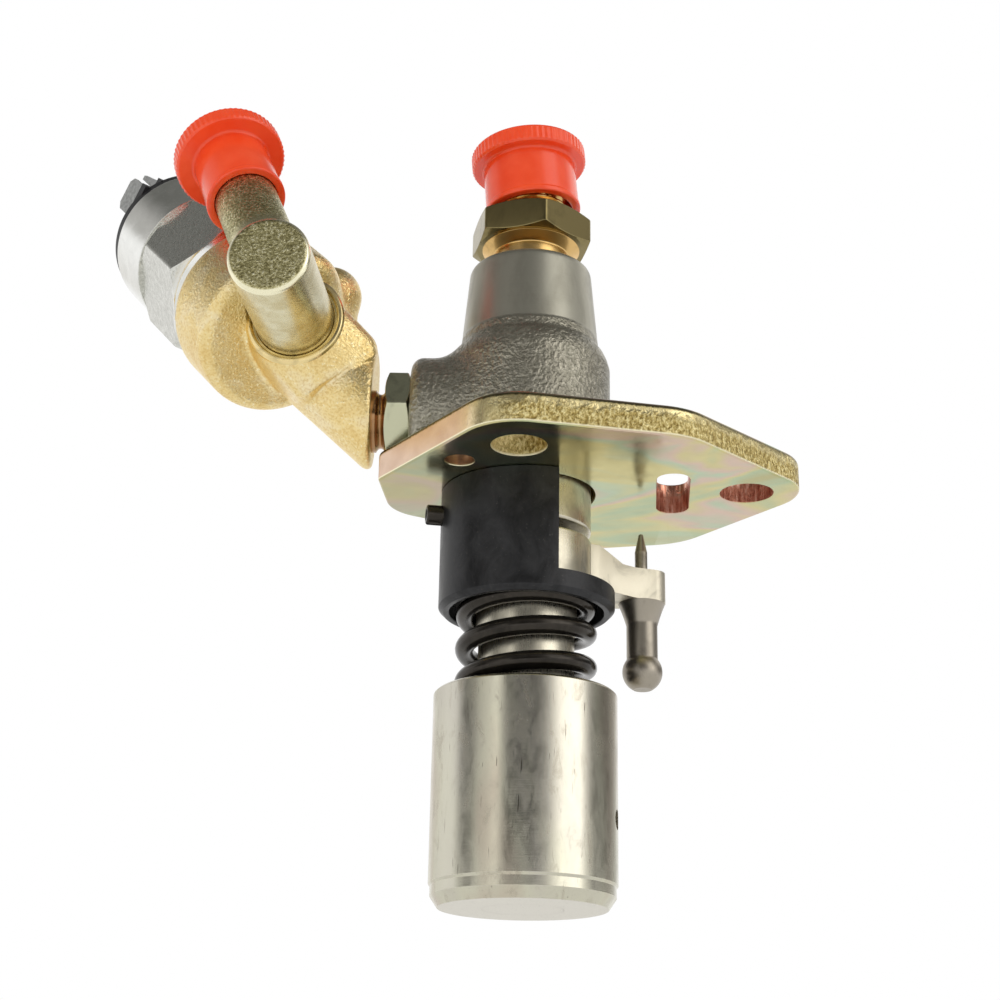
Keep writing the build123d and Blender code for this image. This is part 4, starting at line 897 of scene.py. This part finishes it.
# ---- control group
def control_group():
    ring = lathe([(5.3, -16.15), (9.2, -16.15), (9.2, -15.6), (10.1, -15.6, 0.25), (10.1, -8.1, 0.4),
                  (5.3, -8.1)])
    tube = lathe([(5.3, -31.0), (7.45, -31.0, 0.2), (7.45, -23.5, 0.1), (7.9, -23.5, 0.15), (7.9, -16.1),
                  (5.3, -16.1)])
    turn = placed((0, 0, 0), UP, direction(VANE_TURN))
    slots = prism([(-9, -1.55), (9, -1.55), (9, 1.55), (-9, 1.55)], -32, -16.95, turn)
    piece("control_ring", ring, "control_sleeve", "bright_steel", body="control")
    carved("control_tube", tube, [slots], "control_sleeve", "bright_steel", 0.12, body="control")
    control_arm()
    control_pins()


def control_arm():
    """Flat arm with a ramped root: side view crossed with its plan."""
    low, high, tip = -15.9, -10.9, 22.9
    quarter = [radians(angle) for angle in range(0, 91, 10)]
    ramp = [(14.6 - 4.5 * (1 - cos(a)), high + 2.1 * (1 - sin(pi / 2 - a))) for a in quarter]
    side = [(7.3, low), (tip, low), (tip, high), *ramp, (7.3, -8.8)]
    stand = placed((0, 0, 0), (0, -1, 0), (1, 0, 0))
    turned_side = prism(side, -5.5, 5.5, ARM @ stand)
    corner = [(tip - 2.5 + 2.5 * sin(a), 0.7 + 2.5 * cos(a)) for a in quarter]
    plan = [(7.3, -5.5), (10.1, -5.5), (17.0, -3.2), *[(x, -y) for x, y in corner],
            *corner[::-1], (17.0, 3.2), (10.1, 5.5), (7.3, 5.5)]
    across = prism(plan, -17, -8, ARM)
    core = rod(10.15, -20, 0, PUMP, 0.01, 192)
    pin_hole = rod(1.65, -20, -13.2, ARM @ at(ARM_PIN_X), 0.01, 48)
    carved("arm_plate", turned_side, [core, pin_hole], "control_arm", "bright_steel", 0.3, "arm_steel",
           "control", 30, [across])


def control_pins():
    place = ARM @ at(ARM_PIN_X)
    heights = np.linspace(-19.5, -16.0, 9)
    bend = np.polyfit((-19.5, -17.7, -15.9), (2.45, 3.0, 3.7), 2)
    flare = [(np.polyval(bend, z), z) for z in heights]
    ball = [(3.15 * cos(radians(a)), -27 + 3.15 * sin(radians(a))) for a in range(-62, 39, 5)]
    profile = [(0, -29.8), (1.44, -29.8), *ball, (2.45, -24.8), *flare, (3.7, -15.9, 0.1), (1.6, -15.9, 0.05),
               (1.6, -13.2, 0.1), (0, -13.2)]
    piece("ball_pin", lathe(profile, place, 96, 3), "control_ball_pin", "dark_steel", body="control")
    pointer = lathe([(0, -13.2), (1.0, -13.2), (1.0, -7.2, 0.3), (0.34, -4.1, 0.2), (0, -4.1)], place, 48)
    piece("pointer_pin", pointer, "control_pointer_pin", "dark_steel", body="control")


# ---- tappet
def tappet():
    bucket = lathe([(11.9, -56.0), (11.9, -33.3, 0.1), (12.7, -32.5, 0.15), (13.6, -32.5, 0.25),
                    (14.0, -32.9, 0.2), (14.0, -61.15, 0.12), (13.72, -61.5, 0.1), (13.72, -62.95, 0.15),
                    (13.55, -63.2, 0.1), (12.6, -64.6, 0.25), (6.0, -64.6), (6.0, -56.0)], count=224)
    floor = lathe([(0, -64.6), (6.05, -64.6), (6.05, -56.0), (0, -56.0)], count=64)
    hole = rod(1.5, 9, 20, placed((0, 0, -51.7), direction(-7)), 0.01, 48)
    carved("tappet_bucket", bucket, [hole], "tappet", "ground_steel", 0.1, body="tappet", sharp=40)
    piece("tappet_floor", floor, "tappet", "ground_steel", body="tappet")


# ---- fuel inlet
def inlet_group():
    stud = lathe([(2.0, 10.8), (5.05, 10.8, 0.3), (5.05, 23.05, 0.1), (4.4, 23.5, 0.5), (4.4, 24.1, 0.5),
                  (5.05, 24.55, 0.1), (5.05, 28.0, 0.3), (2.0, 28.0)], INLET)
    lock = nut(LOCKNUT_HEXAGON, 5.1, INLET_BOSS_REACH, INLET_BOSS_REACH + 4.0, 30, (0.5, 0.5), INLET)
    piece("stud_body", stud, "inlet_stud", "gold_zinc", "stud")
    piece("locknut_hexagon", lock, "inlet_locknut", "gold_zinc", "locknut")


def casting_field(points):
    """Bulb, arm and rear boss with cast fillets, turned round the elbow and cut by machined faces."""
    foot = INLET[:3, 3] + INLET[:3, 2] * CASTING_FACE + (0, 0, ARM_RISE)
    crown = np.array([ELBOW_AXIS_AT[0], foot[1], ELBOW_AXIS_AT[1] - CROWN_DROP])
    reach = np.linalg.norm(crown - foot)
    arm = cylinder_field(points, placed(foot, crown - foot), CASTING_ARM_R, -9.0, reach, 5.0)
    neck = cylinder_field(points, at(*HUMP_XY), HUMP_R - 0.5, ELBOW_AXIS_AT[1], HUMP_TOP_Z - 4, 1.0)
    knob = np.linalg.norm(points - (*HUMP_XY, HUMP_TOP_Z - HUMP_R), axis=-1) - HUMP_R
    solid = smooth_min(arm, smooth_min(neck, knob, 0.8), 2.0)

    from_elbow = points[..., [0, 2]] - ELBOW_AXIS_AT
    around = np.linalg.norm(from_elbow, axis=-1)
    depth = points[..., 1] - ELBOW_MOUTH_Y - 0.35
    before = (np.maximum(around - LIP_R, 0) * BAND_SLOPE - depth) / sqrt(1 + BAND_SLOPE ** 2)
    run = (foot - crown)[[0, 2]]
    spot = points[..., [0, 2]] - crown[[0, 2]]
    share = np.clip(spot @ run / (run @ run), 0, 1)
    beside = np.linalg.norm(spot - share[..., None] * run, axis=-1) - CASTING_ARM_R
    beyond = -from_elbow @ direction(BAND_TURN)[:2] - BAND_REACH
    band = np.maximum(np.maximum(beyond, points[..., 1]), before)
    solid = smooth_min(solid, smooth_max(band, beside, 2.4), 0.3)

    bulb = cylinder_field(points, SOLENOID, BULB_R, -BULB_LENGTH, 4.0, 2.0)
    bulb = np.maximum(bulb, cylinder_field(points, SOLENOID, BULB_R, -30.0, 0.0, 4.0))
    bulb = smooth_max(bulb, from_elbow[..., 0] - BULB_SIDE, 2.0)
    bulb = smooth_max(bulb, RECESS_R + 0.2 - np.maximum(around, depth), 0.3)
    solid = smooth_min(solid, bulb, 1.2)
    solid = np.maximum(solid, -np.maximum(around - RECESS_R - 0.45, depth - 2.5))
    hollow = (points - INLET[:3, 3]) @ INLET[:3, 2]
    from_stud = np.linalg.norm(points - INLET[:3, 3] - hollow[..., None] * INLET[:3, 2], axis=-1)
    dish = CASTING_FACE + 0.9 * np.clip(1 - (from_stud / 11) ** 2, 0, 1)
    return smooth_max(solid, dish - hollow, np.interp(points[..., 2], (5.0, 9.0), (2.0, 0.9)))


def valve_casting():
    step = 0.34
    casting = net(casting_field, (-66, -23, 0), (-22, 18, 52), step)
    lip = lathe([(6.34, -0.75), (6.45, -0.6, 0.06), (6.85, -0.6, 0.15), (7.0, -0.12, 0.15), (7.2, 0, 0.15),
                 (LIP_R + 0.1, -0.1, 0.35), (LIP_R + 0.4, -0.6, 0.25), (LIP_R + 0.4, -3.5), (6.34, -3.5)],
                ELBOW, 192)
    piece("casting_body", casting, "valve_casting", "cast_brass", sharp=60)
    piece("casting_lip", lip, "valve_casting", "cast_brass", "lip_brass")


def elbow_field(points):
    """Capped tube with its slanted stub and the braze fillet between them."""
    body = cylinder_field(points, ELBOW, ELBOW_R, -4.0, ELBOW_MOUTH_Y - ELBOW_END_Y, 0.9)
    stub = cylinder_field(points, STUB, STUB_R, 0, STUB_LENGTH, 0.4)
    solid = smooth_min(body, stub, 0.9)
    bore = cylinder_field(points, STUB, 3.6, 0, STUB_LENGTH + 5, 0.1)
    inner = cylinder_field(points, ELBOW, ELBOW_R - 1.4, -9.0, ELBOW_MOUTH_Y - ELBOW_END_Y - 1.4, 0.1)
    return np.maximum(solid, -np.minimum(bore, inner))


def inlet_elbow():
    step = 0.27
    tube = net(elbow_field, (-58, -36, 18), (-29, -7, 56), step)
    piece("elbow_tube", tube, "inlet_elbow", "gold_zinc", sharp=60)


# ---- solenoid
def solenoid():
    can = lathe([(0, 16.3), (12.95, 16.3, 0.1), (12.95, 26.5, 0.35), (0, 26.5)], SOLENOID, 192)
    hexagon = nut(SOLENOID_HEXAGON, 8.0, 1.8, 16.7, 28.0, (1.1, 2.9), SOLENOID, 360)
    collar = lathe([(7.0, 0.8), (11.2, 0.8, 0.15), (12.1, 1.75, 0.1), (12.1, 1.95), (7.0, 1.95)],
                   SOLENOID, 192)
    seal = lathe([(7.1, 0.0), (10.9, 0.0, 0.35), (10.9, 0.8, 0.35), (7.1, 0.8)], SOLENOID)
    disc = lathe([(0, 24.6), (10.55, 24.6), (10.55, 26.5), (12.5, 26.5, 0.15), (12.5, 28.9, 0.6), (0, 28.9)],
                 SOLENOID)
    blocks, spades = [], []
    for x, y, turn in TERMINALS:
        foot = SOLENOID @ at(x, y) @ placed((0, 0, 0), UP, direction(turn))
        blocks.append(prism([(-3.8, -2), (3.8, -2), (3.8, 2), (-3.8, 2)], 28.0, 29.5, foot))
        outline = [(-3, 0), (3, 0), (3, 7.7), (2, 8.7), (-2, 8.7), (-3, 7.7)]
        spades.append(prism(outline, -0.4, 0.4, foot @ placed((0, 0, 28.3), (0, -1, 0), (1, 0, 0))))
    piece("solenoid_can", joined(can, hexagon, collar), "solenoid_body", "nickel")
    piece("seal_ring", seal, "solenoid_seal", "seal_rubber")
    piece("end_disc", joined(disc, *blocks), "solenoid_end_cap", "black_plastic")
    piece("spade_blades", joined(*spades), "solenoid_terminals", "tin_blade")


# ---- dust caps
def grip_ribs(turn):
    return 0.1 * (0.5 - 0.5 * np.cos(64 * turn)) ** 0.7


def dust_cap(name, place, body_r, bore_r, mouth_r, flange_r, rim, floor, top):
    """Ribbed flange, rolled rim and thin end wall; the cap is a body of its own."""
    flange = top - 3.0
    shell = lathe([(bore_r, floor), (bore_r, rim + 1.6), (mouth_r, rim + 0.9), (mouth_r, rim, 0.3),
                   (body_r + 0.15, rim, 0.3), (body_r + 0.15, rim + 0.8, 0.2),
                   (body_r - 0.05, rim + 1.1, 0.2), (body_r * 0.985, flange, 0.5),
                   (flange_r - 0.35, flange, 0.25),
                   (flange_r, flange + 0.4, 0.25), (flange_r, top - 0.4, 0.25), (flange_r - 0.35, top, 0.3),
                   (body_r - 1.2, top, 0.4), (body_r - 1.2, floor + 1.2, 0.5), (0.6, floor + 1.2),
                   (0.6, floor)], place, 480, 5, (flange + 0.3, top - 0.3, body_r + 0.4, grip_ribs))
    plug = lathe([(0, floor), (0.65, floor), (0.65, floor + 1.2), (0, floor + 1.2)], place, 24)
    piece(name + "_dust_cap", joined(shell, plug), name + "_cap", "red_plastic", body=name + "_cap")


def dust_caps():
    low, high = 51.0 - CAP_PIVOT_Z, 62.6 - CAP_PIVOT_Z
    end_wall = 57.5 + 5.9 * sin(radians(CAP_LEAN)) + 0.05 - CAP_PIVOT_Z
    dust_cap("outlet", OUTLET_CAP, 7.9, 6.6, 6.6, 9.7, low, end_wall, high)
    dust_cap("inlet", STUB, 6.2, 5.3, 5.06, 8.95, 19.3, STUB_LENGTH + 0.05, 33.1)


# ---- studio
WHITE = (1.0, 1.0, 1.0)
WARM = (1.0, 0.985, 0.95)
CEILING = (0.13, 0.13, 0.12)
PLAIN_LIGHT = (1.0, 1.0, 0.99)
# Light round the room by its share of a turn: 0 is -X, 0.25 is -Y on the camera's side, 0.75 is behind.
WALLS = ((0.0, 1.0), (0.035, 0.16), (0.075, 0.22), (0.10, 0.6), (0.135, 0.75), (0.165, 1.15), (0.185, 0.5),
         (0.20, 0.10), (0.30, 0.08), (0.335, 0.4), (0.36, 1.1), (0.39, 2.0), (0.46, 2.2), (0.485, 0.9),
         (0.515, 0.22), (0.60, 0.18), (0.66, 0.5), (0.70, 1.0), (0.825, 1.0), (0.865, 0.8), (0.95, 1.0))
UPPER_WALLS = ((0.0, 0.42), (0.06, 0.2), (0.14, 0.18), (0.26, 0.2), (0.33, 0.45), (0.365, 1.5), (0.43, 1.7),
               (0.475, 0.6), (0.54, 0.5), (0.60, 1.2), (0.70, 1.0), (0.84, 1.0), (0.90, 0.7), (1.0, 0.42))


def studio_world():
    """The camera and the metal see the same room, white behind the part; the rest gets plain light."""
    world = bpy.data.worlds.new("studio")
    bpy.context.scene.world = world
    world.use_nodes = True
    w = Nodes(world.node_tree)
    toward = w.new("TexCoord").outputs["Generated"]
    around = w.new("TexGradient", [("Vector", toward)], gradient_type="RADIAL").outputs["Fac"]
    climb = w.vector("DOT_PRODUCT", toward, UP)

    def band(stops):
        colours = [tuple(shade * part for part in (WHITE if shade == 1.0 else WARM)) for _, shade in stops]
        return w.ramp(around, *zip([place for place, _ in stops], colours))

    walls = w.mix(w.step(climb, 0.38, 0.48), band(WALLS), band(UPPER_WALLS))
    room = w.mix(w.step(climb, 0.6, 0.85), w.mix(w.step(climb, 0.09, 0.13), WHITE, walls), CEILING)
    rays = w.new("LightPath").outputs
    seen = w.larger(w.larger(rays["Is Camera Ray"], rays["Is Glossy Ray"]), rays["Is Transmission Ray"])
    light = w.new("Background", [("Color", w.mix(seen, PLAIN_LIGHT, room))]).outputs[0]
    w.new("OutputWorld", [("Surface", light)])


def floor():
    """Pale floor well below the part, which is held up by its flange."""
    reach, level = 1200.0, -260.0
    square = [(-reach, -reach, level), (reach, -reach, level), (reach, reach, level), (-reach, reach, level)]
    ground = mesh_object("floor", (square, [(0, 1, 2, 3)]))
    ground.data.materials.append(Finish("floor", roughness=0.9).done((0.86, 0.86, 0.85)))


CAMERA_AT = (17.27, -260.03, -98.4)
CAMERA_FORWARD = (-0.0779, 0.9332, 0.3509)
CAMERA_UP = (0.0109, -0.3511, 0.9363)
CAMERA_LENS = 63.07


def camera():
    lens = bpy.data.cameras.new("camera")
    lens.lens, lens.sensor_width = CAMERA_LENS, 36.0
    lens.clip_start, lens.clip_end = 0.01, 10.0
    holder = bpy.data.objects.new("camera", lens)
    forward = Vector(CAMERA_FORWARD).normalized()
    right = forward.cross(Vector(CAMERA_UP)).normalized()
    turn = Matrix((right, right.cross(forward), -forward)).transposed().to_4x4()
    holder.matrix_world = Matrix.Translation(Vector(CAMERA_AT) * MM) @ turn
    bpy.context.scene.collection.objects.link(holder)
    bpy.context.scene.camera = holder


# ---- assembly
for build in (dress_kept_nodes, mounting_plate, pump_housing, valve_holder, guide_sleeve, plunger_spring,
              delivery_spring, control_group, tappet, inlet_group, valve_casting, inlet_elbow, solenoid,
              dust_caps, studio_world, floor, camera):
    build()

bpy.context.scene.view_settings.view_transform = "Standard"
